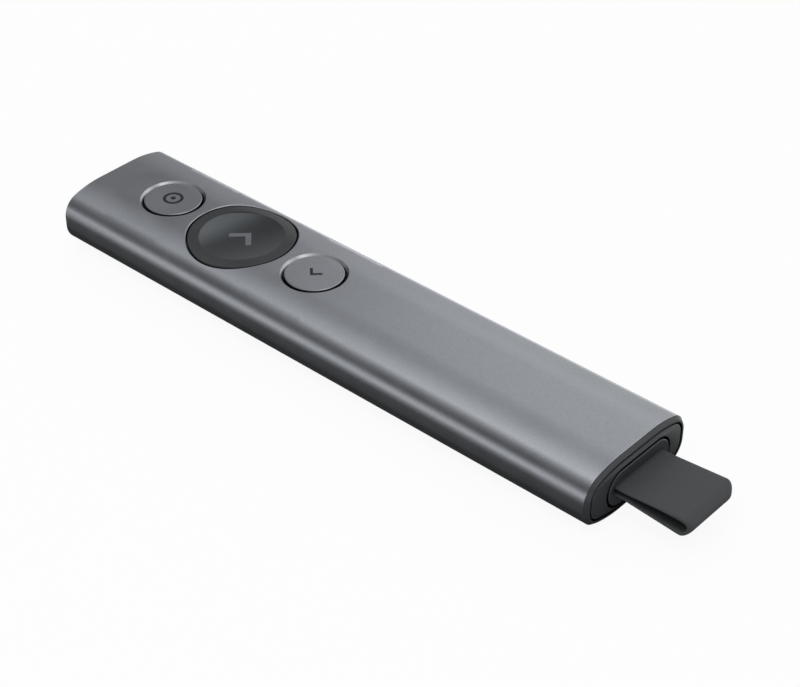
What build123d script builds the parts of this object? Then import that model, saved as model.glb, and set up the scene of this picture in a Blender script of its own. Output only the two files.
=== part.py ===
from build123d import *
import os
from math import acos, asin, atan2, cos, degrees, hypot, sin, sqrt

# Wireless presentation clicker.  Millimetres, +Z up.  The origin is in the middle of the flat strip
# that the body rests on.  +Y runs along the body to its nose, -Y to the strap, +X to its right side.

# ---------------------------------------------------------------- driving dimensions
# Body section: a flat strip, a crown arc, a tight shoulder arc and a flat side, mirrored four ways.
LENGTH = 131.3
WIDTH = 28.1
HEIGHT = 12.1
CROWN_FLAT = 8.7
CROWN_RADIUS = 22.35
SIDE_FLAT = 1.92
WALL = 1.2

SLIDE_CLEARANCE = 0.1       # cartridge in the tube
SEAT_CLEARANCE = 0.05       # moulded piece in its pocket
RUN_CLEARANCE = 0.15        # moving moulded piece in its guide
SCREW_CLEARANCE = 0.02      # threads are left out, so a pilot bore just clears the shank

# Buttons
NEXT_FROM_NOSE = 36.45      # from the nose end to the middle of the large button
BUTTON_PITCH = 19.4
BUTTON_TRAVEL = 0.4
SMALL_FACE_RADIUS = 5.75
SMALL_GAP = 0.3
SMALL_HOLE_CHAMFER = 0.5
NEXT_FACE_RADIUS = 10.7
NEXT_GAP = 0.25
NEXT_HOLE_CHAMFER = 0.15
FACE_SINK = 0.05            # faces lie this far under the crown
FACE_CHAMFER = 0.12
FLANGE_WIDTH = 0.9          # how far a cap's flange reaches under the tube
CAP_ROOF = 0.7              # thickness of a cap over its hollow
SKIRT_WALL = 1.0
STEM_RADIUS = 1.6
DISH_RADIUS = 8.35
DISH_HOLLOW = 0.25          # depth of the dish's middle under its two side edges
DISH_STEP = 0.06            # least height of the dish's edge

# Cartridge: a tray, the board and the button frame
TRAY_FLOOR = 1.0
BOARD_BASE = 4.0
BOARD_THICKNESS = 1.0
BOARD_WIDTH = 21.8
BOARD_LEDGE = 1.1
SPLIT_Z = 5.6               # the tray's rim meets the button frame here
FRAME_PLATE_BASE = 7.2
FRAME_TOP = 9.0
FRAME_TAIL_WALL = 2.4       # left behind the last button's pocket
POCKET_FLOOR = 0.9
CARTRIDGE_NOSE_GAP = 3.45   # from the tube's nose end to the cartridge
BOARD_NOSE_GAP = 2.45
BOARD_CLEARANCE = 0.1

# Cartridge screws
SCREW_SHANK_RADIUS = 0.7
SCREW_HEAD_RADIUS = 1.3
SCREW_HEAD_HEIGHT = 0.8
POST_RADIUS = 1.6
PILOT_FLOOR = 0.3           # left under a blind pilot bore
DRIVE_WIDTH = 0.35
DRIVE_DEPTH = 0.35
DRIVE_SPAN = 1.2            # length of the cross recess, in head radii
HEAD_EDGE = 0.25            # share of a head's height that its bevel takes

# Switches under the buttons
SWITCH_WIDTH = 5.2
SWITCH_HEIGHT = 1.5
SWITCH_CORNER = 0.5
PLUNGER_RADIUS = 1.2
PLUNGER_RISE = 0.6
PLUNGER_DEPTH = 0.4

# Nose end
NOSE_CAP_SINK = 0.3
NOSE_CAP_THICKNESS = 1.4
NOSE_LIP_DEPTH = 1.2
NOSE_LIP_WALL = 0.8
END_CHAMFER = 0.15
PIPE_RADIUS = 0.8
PIPE_COLLAR_RADIUS = 1.2
PIPE_COLLAR_LENGTH = 0.5

# Tail end
BEZEL_DEPTH = 0.7
BEZEL_BEVEL = 0.6
BEZEL_LAND = 0.015          # left square behind the bevel, where the bezel meets the tube
BEZEL_RIM = 0.97
REBATE_DEPTH = 0.8
REBATE_INSET = 0.6
PLATE_THICKNESS = 0.9
PLATE_GROOVE = 0.35
PLATE_EDGE = 0.12
PLATE_DOME = 0.5            # how far the plate's middle stands out past its edge
PLATE_SLOPE = 1.1           # width of the slope round the dome
LOBE_DEPTH = 2.6
TAIL_SCREW_LENGTH = 7.5
TAIL_SCREW_SHANK_RADIUS = 0.5
TAIL_SCREW_HEAD_RADIUS = 0.95
TAIL_SCREW_HEAD_HEIGHT = 0.5

# Receiver bay
BAY_SIDE_GAP = 0.4          # beside the receiver
BAY_TOP_GAP = 0.35          # over and under it
BAY_SIDE_WALL = 0.7
BAY_DEPTH = 25.4
BAY_END_WALL = 1.0
RAIL_TOP = 8.4
SPRING_WIDTH = 3.0
SPRING_LENGTH = 7.0
SPRING_THICKNESS = 0.15
SPRING_SETBACK = 7.0

# Receiver
RECEIVER_WIDTH = 17.2
RECEIVER_HEIGHT = 7.1
RECEIVER_PROUD = 0.0        # past the middle of the domed plate
RECEIVER_CAP_DEPTH = 3.6
RECEIVER_LENGTH = 13.0
RECEIVER_WALL = 0.7
RECEIVER_FRONT_WALL = 1.0
RECEIVER_SPIGOT = 1.2
RECEIVER_EDGE = 0.15
SLOT_HEIGHT = 2.25
SLOT_CORNER = 0.7
FUNNEL_RIM = 0.3            # edge left round the dished face that leads to the strap's slot
FUNNEL_DEPTH = 0.2
FUNNEL_SIDE_FLAT = 0.12     # straight stretch at each side of the mouth

# USB type A plug of the receiver, to its standard
PLUG_WIDTH = 12.0
PLUG_HEIGHT = 4.5
PLUG_SHELL = 0.3
PLUG_REACH = 12.0
PLUG_ROOT = 2.5
PLUG_CORNER = 0.45
TONGUE_THICKNESS = 1.85
TONGUE_SETBACK = 0.7
CONTACT_WIDTH = 1.0
CONTACT_THICKNESS = 0.15
CONTACT_INNER_X = 1.0
CONTACT_OUTER_X = 3.5
CONTACT_TAIL = 3.5          # how far a strip runs back into the housing
PLUG_WINDOW_SIZE = 2.2
PLUG_WINDOW_SETBACK = 5.1
PLUG_WINDOW_X = 2.25

# USB type C receptacle, to its standard
PORT_WIDTH = 8.94
PORT_HEIGHT = 3.16
PORT_SHELL = 0.3
PORT_LENGTH = 7.3
PORT_TONGUE_WIDTH = 6.65
PORT_TONGUE_THICKNESS = 0.7
PORT_TONGUE_SETBACK = 0.8
PORT_BACK = 1.6

# Strap: a moulded silicone loop with an eye round a cross pin
STRAP_WIDTH = 13.7
STRAP_REACH = 14.95
STRAP_WALL = 0.65
STRAP_ROOT = 1.95
STRAP_LEVEL = 2.0           # the legs run level this far out of the slot, then part
STRAP_END_RADIUS = 1.7
STRAP_CORNER = 2.1
STRAP_EYE_RADIUS = 1.3
STRAP_EDGE_RADIUS = 0.4
STRAP_GAP_DEPTH = 0.25      # how far the loop's gap runs into the slot
PIN_RADIUS = 0.6
PIN_SETBACK = 0.45          # from the pin's end to the receiver's side
PIN_DEPTH = 1.9

# Electronics
BATTERY_WIDTH = 12.0
BATTERY_HEIGHT = 3.8
BATTERY_CORNER = 1.2
BATTERY_TAIL_GAP = 1.95     # to the charging port
TAPE_THICKNESS = 0.2
FOAM_INSET = 1.0
FOAM_GAP = 0.1
LEAD_RADIUS = 0.4
LEAD_PITCH = 1.6
LEAD_RUN = 1.8              # from the cell to its connector
MOTOR_RADIUS = 4.0
MOTOR_HEIGHT = 2.1
MOTOR_EDGE = 0.2
MOTOR_SETBACK = 2.6         # from the button frame's tail to the motor's middle
MOTOR_GAP = 1.0             # to the battery's connector
LED_SIZE = (2.0, 1.0, 1.4)
RADIO_SIZE = (6.0, 6.0, 0.9)
SENSOR_SIZE = (3.0, 3.0, 1.0)
CHARGER_SIZE = (3.0, 3.0, 0.8)
CRYSTAL_SIZE = (3.2, 2.5, 0.7)
ANTENNA_SIZE = (7.0, 2.0, 1.0)
CONNECTOR_SIZE = (4.0, 3.2, 2.6)
PASSIVE_SIZE = (0.8, 1.6, 0.8)
PASSIVE_PITCH = 2.6
PASSIVE_COUNT = 4
RADIO_SETBACK = 6.2         # from the board's nose edge to the radio chip's middle
CRYSTAL_X = 6.0
CHARGER_X = 8.6
CHARGER_SETBACK = 6.95      # from the charging port's back to the chip's middle
ANTENNA_X = 6.0
NOSE_PART_GAP = 0.6         # from the board's nose edge to the middle of the light
RECEIVER_BOARD_WIDTH = 11.0
RECEIVER_BOARD_THICKNESS = 0.8
RECEIVER_CHIP_SIZE = (4.0, 4.0, 0.9)

# ---------------------------------------------------------------- derived sizes and places
MID_Z = HEIGHT / 2
NOSE_Y = LENGTH / 2
TAIL_Y = -LENGTH / 2

# The shoulder arc is the one tangent to both the crown arc and the flat side.
SHOULDER_REACH = WIDTH / 2 - CROWN_FLAT / 2
SHOULDER_RISE = HEIGHT / 2 - SIDE_FLAT / 2
SHOULDER_RADIUS = ((2 * CROWN_RADIUS * SHOULDER_RISE - SHOULDER_REACH ** 2 - SHOULDER_RISE ** 2)
                   / (2 * (CROWN_RADIUS - SHOULDER_REACH)))

NEXT_Y = NOSE_Y - NEXT_FROM_NOSE
POINTER_Y = NEXT_Y + BUTTON_PITCH
BACK_Y = NEXT_Y - BUTTON_PITCH
TUBE_TAIL_Y = TAIL_Y + BEZEL_DEPTH
CARTRIDGE_INSET = WALL + SLIDE_CLEARANCE
CARTRIDGE_NOSE_Y = NOSE_Y - CARTRIDGE_NOSE_GAP
NOSE_CAP_Y = NOSE_Y - NOSE_CAP_SINK
NOSE_CAP_BACK_Y = NOSE_CAP_Y - NOSE_CAP_THICKNESS
FRAME_TAIL_Y = BACK_Y - SMALL_FACE_RADIUS - FLANGE_WIDTH - RUN_CLEARANCE - FRAME_TAIL_WALL

BOARD_TOP = BOARD_BASE + BOARD_THICKNESS
POCKET_Z = FRAME_PLATE_BASE + POCKET_FLOOR
FLANGE_BASE = POCKET_Z + BUTTON_TRAVEL + SEAT_CLEARANCE
SWITCH_TOP = BOARD_TOP + SWITCH_HEIGHT
STEM_BASE = SWITCH_TOP + PLUNGER_RISE

PLATE_BACK_Y = TAIL_Y + PLATE_THICKNESS
REBATE_Y = TUBE_TAIL_Y + REBATE_DEPTH
LOBE_END_Y = REBATE_Y + LOBE_DEPTH
BAY_MOUTH_WIDTH = RECEIVER_WIDTH + 2 * BAY_SIDE_GAP
BAY_MOUTH_HEIGHT = RECEIVER_HEIGHT + 2 * BAY_TOP_GAP
BAY_WIDTH = BAY_MOUTH_WIDTH + 2 * BAY_SIDE_WALL
BAY_END_Y = TAIL_Y + BAY_DEPTH
BAY_BACK_Y = BAY_END_Y + BAY_END_WALL
RAIL_X = BAY_WIDTH / 2 + SEAT_CLEARANCE
TAIL_SCREW_X = (RAIL_X + WIDTH / 2 - WALL - SEAT_CLEARANCE) / 2
TRAY_TAIL_Y = BAY_BACK_Y
BOARD_TAIL_Y = TRAY_TAIL_Y + BOARD_CLEARANCE
BOARD_NOSE_Y = NOSE_Y - BOARD_NOSE_GAP
SPRING_Y = TAIL_Y + SPRING_SETBACK

RECEIVER_Y = TAIL_Y - PLATE_DOME - RECEIVER_PROUD
RECEIVER_SPLIT_Y = RECEIVER_Y + RECEIVER_CAP_DEPTH
RECEIVER_FRONT_Y = RECEIVER_Y + RECEIVER_LENGTH
PLUG_TIP_Y = RECEIVER_FRONT_Y + PLUG_REACH
PIN_Y = RECEIVER_Y + PIN_DEPTH
PIN_LENGTH = RECEIVER_WIDTH - 2 * PIN_SETBACK

PORT_BACK_Y = BAY_END_Y + PORT_LENGTH
PORT_CENTRE_Z = BOARD_TOP + PORT_HEIGHT / 2
LIGHT_Z = BOARD_TOP + LED_SIZE[2] / 2
TONGUE_TOP = MID_Z + PLUG_HEIGHT / 2 - PLUG_SHELL - SEAT_CLEARANCE
CONTACT_TOP = TONGUE_TOP - TONGUE_THICKNESS
BATTERY_BASE = BOARD_TOP + TAPE_THICKNESS
MOTOR_Y = FRAME_TAIL_Y - MOTOR_SETBACK
CONNECTOR_Y = MOTOR_Y - MOTOR_RADIUS - MOTOR_GAP - CONNECTOR_SIZE[1] / 2
BATTERY_NOSE_Y = CONNECTOR_Y - CONNECTOR_SIZE[1] / 2 - LEAD_RUN
BATTERY_LENGTH = BATTERY_NOSE_Y - PORT_BACK_Y - BATTERY_TAIL_GAP
BATTERY_Y = BATTERY_NOSE_Y - BATTERY_LENGTH / 2
RADIO_Y = BOARD_NOSE_Y - RADIO_SETBACK
CHARGER_Y = PORT_BACK_Y + CHARGER_SETBACK
LIGHT_Y = BOARD_NOSE_Y - NOSE_PART_GAP
BETWEEN_Y = (NEXT_Y + BUTTON_PITCH / 2, NEXT_Y - BUTTON_PITCH / 2)
SCREW_X = BOARD_WIDTH / 2 + BOARD_CLEARANCE - POST_RADIUS - SEAT_CLEARANCE
SCREW_SEAT_Z = FRAME_TOP - SCREW_HEAD_HEIGHT
SCREW_PLACES = [(side * SCREW_X, y) for y in BETWEEN_Y for side in (-1, 1)]
BUTTONS = ((POINTER_Y, SMALL_FACE_RADIUS), (NEXT_Y, NEXT_FACE_RADIUS), (BACK_Y, SMALL_FACE_RADIUS))
TALL = 4 * HEIGHT           # longer than the body is high, for cutting right through


# ---------------------------------------------------------------- shared shapes
def outline(inset=0.0):
    """The body's section moved inward by inset, drawn about its own centre."""
    half_width = WIDTH / 2 - inset
    half_height = HEIGHT / 2 - inset
    flat = CROWN_FLAT / 2
    crown_centre = (flat, HEIGHT / 2 - CROWN_RADIUS)
    shoulder_centre = (WIDTH / 2 - SHOULDER_RADIUS, SIDE_FLAT / 2)
    turn = degrees(atan2(shoulder_centre[1] - crown_centre[1], shoulder_centre[0] - crown_centre[0]))
    crown = CenterArc(crown_centre, CROWN_RADIUS - inset, 90, turn - 90)
    shoulder = CenterArc(shoulder_centre, SHOULDER_RADIUS - inset, turn, -turn)
    strip = Line((-flat, half_height), (flat, half_height))
    side = Line((half_width, SIDE_FLAT / 2), (half_width, -SIDE_FLAT / 2))
    bend = crown + shoulder
    upper = strip + bend + mirror(bend, Plane.YZ)
    return make_face(upper + mirror(upper, Plane.XZ) + side + mirror(side, Plane.YZ))


def crown_height(x, inset=0.0):
    """Height of the crown over the resting plane, x across from the middle."""
    crown_z = HEIGHT - CROWN_RADIUS
    shoulder_x = WIDTH / 2 - SHOULDER_RADIUS
    shoulder_z = MID_Z + SIDE_FLAT / 2
    run = max(abs(x) - CROWN_FLAT / 2, 0)
    turn = (shoulder_x - CROWN_FLAT / 2) / (CROWN_RADIUS - SHOULDER_RADIUS)
    if run <= (CROWN_RADIUS - inset) * turn:
        return crown_z + sqrt((CROWN_RADIUS - inset) ** 2 - run ** 2)
    return shoulder_z + sqrt((SHOULDER_RADIUS - inset) ** 2 - (abs(x) - shoulder_x) ** 2)


def end_plane(y, z=MID_Z):
    """The plane across the body at y, with x across and z up."""
    return Plane(origin=(0, y, z), x_dir=(1, 0, 0), z_dir=(0, -1, 0))


def along(face, start_y, end_y, z=MID_Z):
    """A solid that runs along the body from a face drawn with x across and y up."""
    return extrude(end_plane(start_y, z) * face, amount=end_y - start_y, dir=(0, 1, 0))


def core(inset, start_y=TAIL_Y, end_y=NOSE_Y):
    return along(outline(inset), start_y, end_y)


def block(low, high):
    """A box between two opposite corners."""
    size = [b - a for a, b in zip(low, high)]
    centre = [(a + b) / 2 for a, b in zip(low, high)]
    return Pos(*centre) * Box(*size)


def slab(low_z, high_z, start_y=TAIL_Y, end_y=NOSE_Y):
    return block((-WIDTH, start_y, low_z), (WIDTH, end_y, high_z))


def post(x, y, radius, low_z, high_z):
    return Pos(x, y, (low_z + high_z) / 2) * Cylinder(radius, high_z - low_z)


def rod(x, z, radius, start_y, end_y):
    """A round bar along the body."""
    return Pos(x, (start_y + end_y) / 2, z) * Rot(90, 0, 0) * Cylinder(radius, end_y - start_y)


def bar(y, z, radius, length):
    """A round bar across the body."""
    return Pos(0, y, z) * Rot(0, 90, 0) * Cylinder(radius, length)


def component(size, x, y, base_z=None):
    """A part soldered to the top of the board."""
    base_z = BOARD_TOP if base_z is None else base_z
    return Pos(x, y, base_z + size[2] / 2) * Box(*size)


def edges_at_y(solid, y, tolerance=1e-3):
    return solid.edges().filter_by_position(Axis.Y, y - tolerance, y + tolerance)


def outer_wire_edges(solid, y):
    """The outline of the end face that lies at y."""
    face = solid.faces().filter_by(Axis.Y).group_by(Axis.Y)
    flat_end = face[0][0] if y < 0 else face[-1][0]
    return flat_end.outer_wire().edges()


# ---------------------------------------------------------------- tube
def rim_edges(solid, y, radius, inset=0.0):
    """The edges in which a round hole or pin at y meets the crown."""
    def on_rim(edge):
        point = edge @ 0.5
        off_radius = abs(hypot(point.X, point.Y - y) - radius)
        return off_radius < 0.01 and abs(point.Z - crown_height(point.X, inset)) < 0.01
    return solid.edges().filter_by(on_rim)


def make_sleeve():
    tube = core(0, TUBE_TAIL_Y, NOSE_Y) - core(WALL, TUBE_TAIL_Y, NOSE_Y)
    tube -= core(REBATE_INSET, TUBE_TAIL_Y, REBATE_Y)
    for end_y in (TUBE_TAIL_Y, NOSE_Y):
        tube = chamfer(outer_wire_edges(tube, end_y), END_CHAMFER)
    holes = ((POINTER_Y, SMALL_FACE_RADIUS + SMALL_GAP, SMALL_HOLE_CHAMFER),
             (NEXT_Y, NEXT_FACE_RADIUS + NEXT_GAP, NEXT_HOLE_CHAMFER),
             (BACK_Y, SMALL_FACE_RADIUS + SMALL_GAP, SMALL_HOLE_CHAMFER))
    for y, radius, bevel in holes:
        tube -= post(0, y, radius, MID_Z, MID_Z + TALL)
        tube = chamfer(rim_edges(tube, y, radius), bevel)
    return tube


# ---------------------------------------------------------------- buttons
def flange_radius(face_radius):
    return face_radius + FLANGE_WIDTH


def make_cap(y, face_radius):
    """A cap that follows the crown: face, flange under the tube, hollow skirt and stem."""
    under_tube = WALL + SLIDE_CLEARANCE
    reach = flange_radius(face_radius)
    face = post(0, y, face_radius, FLANGE_BASE, TALL) & core(FACE_SINK)
    face = chamfer(rim_edges(face, y, face_radius, FACE_SINK), FACE_CHAMFER)
    flange = post(0, y, reach, FLANGE_BASE, TALL) & core(under_tube)
    hollow = post(0, y, reach - SKIRT_WALL, FLANGE_BASE, TALL) & core(under_tube + CAP_ROOF)
    stem = post(0, y, STEM_RADIUS, STEM_BASE, HEIGHT - under_tube - CAP_ROOF / 2)
    return face + flange - hollow + stem


def bow_radius(rise):
    """Radius of the arc that rises this much over half the dish."""
    return (DISH_RADIUS ** 2 + rise ** 2) / (2 * rise)


def make_dish():
    """The thumb hollow: an arc along the body, swung across it about an axis above the cap."""
    top = crown_height(0, FACE_SINK)
    depth = top - crown_height(DISH_RADIUS, FACE_SINK) + DISH_HOLLOW
    low = top - depth - DISH_STEP
    arc = Pos(0, low + bow_radius(depth)) * Circle(bow_radius(depth))
    arc &= Pos(0, low + depth) * Rectangle(4 * DISH_RADIUS, 2 * depth)
    across = bow_radius(DISH_HOLLOW)
    axis = Axis((0, NEXT_Y, low + across), (0, 1, 0))
    swing = degrees(asin(1.2 * DISH_RADIUS / across))
    section = (Plane.YZ * Pos(NEXT_Y, 0) * arc).rotate(axis, -swing)
    column = post(0, NEXT_Y, DISH_RADIUS, low - depth, top + depth)
    return revolve(section, axis, revolution_arc=2 * swing) & column


def make_next_cap():
    return make_cap(NEXT_Y, NEXT_FACE_RADIUS) - make_dish()


def make_plunger(y):
    return post(0, y, PLUNGER_RADIUS, SWITCH_TOP - PLUNGER_DEPTH, STEM_BASE)


def make_switch(y):
    body = Pos(0, y, BOARD_TOP + SWITCH_HEIGHT / 2) * Box(SWITCH_WIDTH, SWITCH_WIDTH, SWITCH_HEIGHT)
    body = chamfer(body.edges().filter_by(Axis.Z), SWITCH_CORNER)
    well = post(0, y, PLUNGER_RADIUS + SEAT_CLEARANCE,
                SWITCH_TOP - PLUNGER_DEPTH - BUTTON_TRAVEL - SEAT_CLEARANCE, SWITCH_TOP)
    return body - well


# ---------------------------------------------------------------- cartridge
def screw_tip_z():
    """How deep a cartridge screw may reach before it nears the tray's curved underside."""
    return HEIGHT - crown_height(SCREW_X + SCREW_SHANK_RADIUS, CARTRIDGE_INSET) + PILOT_FLOOR


def make_tray():
    tray = core(CARTRIDGE_INSET, TRAY_TAIL_Y, CARTRIDGE_NOSE_Y) & slab(0, SPLIT_Z)
    half = BOARD_WIDTH / 2 + BOARD_CLEARANCE
    floor_z = CARTRIDGE_INSET + TRAY_FLOOR
    tray -= block((-half, TRAY_TAIL_Y, BOARD_BASE), (half, CARTRIDGE_NOSE_Y, SPLIT_Z))
    tray -= block((BOARD_LEDGE - half, TRAY_TAIL_Y, floor_z),
                  (half - BOARD_LEDGE, CARTRIDGE_NOSE_Y - WALL, BOARD_BASE))
    for x, y in SCREW_PLACES:
        tray += post(x, y, POST_RADIUS, floor_z, BOARD_BASE) & core(CARTRIDGE_INSET)
        tray -= post(x, y, SCREW_SHANK_RADIUS + SCREW_CLEARANCE, screw_tip_z() - SEAT_CLEARANCE,
                     BOARD_BASE)
    rails = core(CARTRIDGE_INSET, LOBE_END_Y, TRAY_TAIL_Y + 2 * WALL) & slab(0, RAIL_TOP)
    rails -= block((-RAIL_X, LOBE_END_Y, 0), (RAIL_X, TRAY_TAIL_Y, HEIGHT))
    rails -= block((-half, TRAY_TAIL_Y, BOARD_BASE), (half, TRAY_TAIL_Y + 2 * WALL, HEIGHT))
    rails -= block((BOARD_LEDGE - half, TRAY_TAIL_Y, floor_z),
                   (half - BOARD_LEDGE, TRAY_TAIL_Y + 2 * WALL, BOARD_BASE))
    tray += rails
    for side in (-1, 1):
        tray -= rod(side * TAIL_SCREW_X, MID_Z, TAIL_SCREW_SHANK_RADIUS + SCREW_CLEARANCE,
                    LOBE_END_Y, PLATE_BACK_Y + TAIL_SCREW_LENGTH)
    return tray


def make_board():
    half = BOARD_WIDTH / 2
    board = block((-half, BOARD_TAIL_Y, BOARD_BASE), (half, BOARD_NOSE_Y, BOARD_TOP))
    board = fillet(board.edges().filter_by(Axis.Z), BOARD_LEDGE)
    for x, y in SCREW_PLACES:
        board -= post(x, y, SCREW_SHANK_RADIUS + SEAT_CLEARANCE, BOARD_BASE, BOARD_TOP)
    return board


def make_button_frame():
    half = BOARD_WIDTH / 2 + BOARD_CLEARANCE
    frame = core(CARTRIDGE_INSET, FRAME_TAIL_Y, CARTRIDGE_NOSE_Y) & slab(SPLIT_Z, FRAME_TOP)
    frame -= block((-half, FRAME_TAIL_Y, SPLIT_Z), (half, CARTRIDGE_NOSE_Y, FRAME_PLATE_BASE))
    for y, face_radius in BUTTONS:
        frame -= post(0, y, flange_radius(face_radius) + RUN_CLEARANCE, POCKET_Z, TALL)
        frame -= post(0, y, STEM_RADIUS + RUN_CLEARANCE, SPLIT_Z, POCKET_Z)
    for x, y in SCREW_PLACES:
        frame += post(x, y, POST_RADIUS, BOARD_TOP, FRAME_PLATE_BASE) & core(CARTRIDGE_INSET)
        frame -= post(x, y, SCREW_SHANK_RADIUS + SEAT_CLEARANCE, BOARD_TOP, FRAME_TOP)
        frame -= post(x, y, SCREW_HEAD_RADIUS + SEAT_CLEARANCE, SCREW_SEAT_Z, FRAME_TOP)
    return frame


def make_screw(head_radius, head_height, shank_radius, shank_length):
    """A cross-recessed pan screw, head up, its seat at the origin."""
    screw = post(0, 0, shank_radius, -shank_length, 0) + post(0, 0, head_radius, 0, head_height)
    screw = chamfer(screw.edges().group_by(Axis.Z)[-1], HEAD_EDGE * head_height)
    for angle in (0, 90):
        screw -= Pos(0, 0, head_height) * Rot(0, 0, angle) * Box(
            DRIVE_SPAN * head_radius, DRIVE_WIDTH, 2 * DRIVE_DEPTH)
    return screw


def make_cartridge_screws():
    screw = make_screw(SCREW_HEAD_RADIUS, SCREW_HEAD_HEIGHT, SCREW_SHANK_RADIUS,
                       SCREW_SEAT_Z - screw_tip_z())
    return Compound([Pos(x, y, SCREW_SEAT_Z) * screw for x, y in SCREW_PLACES])


# ---------------------------------------------------------------- nose end
def make_nose_cap():
    inset = WALL + SEAT_CLEARANCE
    lip_y = NOSE_CAP_BACK_Y - NOSE_LIP_DEPTH
    cap = core(inset, lip_y, NOSE_CAP_Y) - core(inset + NOSE_LIP_WALL, lip_y, NOSE_CAP_BACK_Y)
    cap = chamfer(outer_wire_edges(cap, NOSE_Y), END_CHAMFER)
    return cap - rod(0, LIGHT_Z, PIPE_RADIUS + SEAT_CLEARANCE, NOSE_CAP_BACK_Y, NOSE_CAP_Y)


def make_light_pipe():
    collar = rod(0, LIGHT_Z, PIPE_COLLAR_RADIUS, NOSE_CAP_BACK_Y - PIPE_COLLAR_LENGTH, NOSE_CAP_BACK_Y)
    return rod(0, LIGHT_Z, PIPE_RADIUS, NOSE_CAP_BACK_Y, NOSE_CAP_Y) + collar


# ---------------------------------------------------------------- tail end
def make_tail_bezel():
    ring = core(0, TAIL_Y, TUBE_TAIL_Y)
    ring = chamfer(outer_wire_edges(ring, TAIL_Y), BEZEL_DEPTH - BEZEL_LAND, BEZEL_BEVEL)
    ring += core(REBATE_INSET + SEAT_CLEARANCE, TUBE_TAIL_Y, REBATE_Y)
    ring += core(WALL + SEAT_CLEARANCE, REBATE_Y, LOBE_END_Y)
    ring -= core(BEZEL_RIM, TAIL_Y, PLATE_BACK_Y)
    window = core(WALL + SLIDE_CLEARANCE - SEAT_CLEARANCE, PLATE_BACK_Y, REBATE_Y)
    ring -= window & block((-RAIL_X, PLATE_BACK_Y, 0), (RAIL_X, REBATE_Y, HEIGHT))
    ring -= block((-RAIL_X, REBATE_Y, 0), (RAIL_X, LOBE_END_Y, HEIGHT))
    for side in (-1, 1):
        x = side * TAIL_SCREW_X
        ring -= rod(x, MID_Z, TAIL_SCREW_SHANK_RADIUS + SEAT_CLEARANCE, PLATE_BACK_Y, LOBE_END_Y)
        ring -= rod(x, MID_Z, TAIL_SCREW_HEAD_RADIUS + SEAT_CLEARANCE, PLATE_BACK_Y,
                    PLATE_BACK_Y + TAIL_SCREW_HEAD_HEIGHT)
    return ring


def make_tail_plate():
    """The end plate: a low dome with a bevelled edge, open round the receiver."""
    inset = BEZEL_RIM + PLATE_GROOVE
    steps = ((TAIL_Y + PLATE_EDGE, inset), (TAIL_Y, inset + PLATE_EDGE),
             (TAIL_Y - PLATE_DOME, inset + PLATE_SLOPE))
    dome = loft([end_plane(y) * outline(step_inset) for y, step_inset in steps], ruled=True)
    plate = core(inset, TAIL_Y + PLATE_EDGE, PLATE_BACK_Y) + dome
    return plate - along(SlotOverall(BAY_MOUTH_WIDTH, BAY_MOUTH_HEIGHT), TAIL_Y - TALL, PLATE_BACK_Y)


def make_tail_screws():
    screw = make_screw(TAIL_SCREW_HEAD_RADIUS, TAIL_SCREW_HEAD_HEIGHT, TAIL_SCREW_SHANK_RADIUS,
                       TAIL_SCREW_LENGTH - TAIL_SCREW_HEAD_HEIGHT)
    seat_y = PLATE_BACK_Y + TAIL_SCREW_HEAD_HEIGHT
    return Compound([Pos(side * TAIL_SCREW_X, seat_y, MID_Z) * Rot(90, 0, 0) * screw
                     for side in (-1, 1)])


# ---------------------------------------------------------------- receiver bay
def make_receiver_bay():
    outer = core(CARTRIDGE_INSET, PLATE_BACK_Y, BAY_BACK_Y)
    outer &= block((-BAY_WIDTH / 2, PLATE_BACK_Y, 0), (BAY_WIDTH / 2, BAY_BACK_Y, HEIGHT))
    bay = outer - along(SlotOverall(BAY_MOUTH_WIDTH, BAY_MOUTH_HEIGHT), PLATE_BACK_Y, BAY_END_Y)
    port = SlotOverall(PORT_WIDTH + 2 * SEAT_CLEARANCE, PORT_HEIGHT + 2 * SEAT_CLEARANCE)
    bay -= along(port, BAY_END_Y, BAY_BACK_Y, PORT_CENTRE_Z)
    half_slot = (SPRING_WIDTH / 2 + SEAT_CLEARANCE, SPRING_LENGTH / 2 + SEAT_CLEARANCE)
    for side in (-1, 1):
        bay -= Pos(side * BAY_WIDTH / 2, SPRING_Y, MID_Z) * Box(
            4 * BAY_SIDE_WALL, 2 * half_slot[1], 2 * half_slot[0])
    return bay


def make_bay_springs():
    """A bowed leaf in each side wall; its ends bear on the tray's rail, its crest on the receiver."""
    crest_x = RECEIVER_WIDTH / 2 + SEAT_CLEARANCE
    foot_x = RAIL_X
    half = SPRING_LENGTH / 2
    bow = ThreePointArc((foot_x, SPRING_Y - half),
                        (crest_x + SPRING_THICKNESS, SPRING_Y), (foot_x, SPRING_Y + half))
    inner = ThreePointArc((foot_x - SPRING_THICKNESS, SPRING_Y - half), (crest_x, SPRING_Y),
                          (foot_x - SPRING_THICKNESS, SPRING_Y + half))
    ends = [Line(bow @ t, inner @ t) for t in (0, 1)]
    leaf = extrude(make_face(bow + inner + ends[0] + ends[1]), amount=SPRING_WIDTH / 2, both=True)
    leaf = Pos(0, 0, MID_Z) * leaf
    return Compound([leaf, mirror(leaf, Plane.YZ)])


def make_port_shell():
    outer = SlotOverall(PORT_WIDTH, PORT_HEIGHT)
    inner = SlotOverall(PORT_WIDTH - 2 * PORT_SHELL, PORT_HEIGHT - 2 * PORT_SHELL)
    return along(outer - inner, BAY_END_Y, PORT_BACK_Y, PORT_CENTRE_Z)


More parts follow.
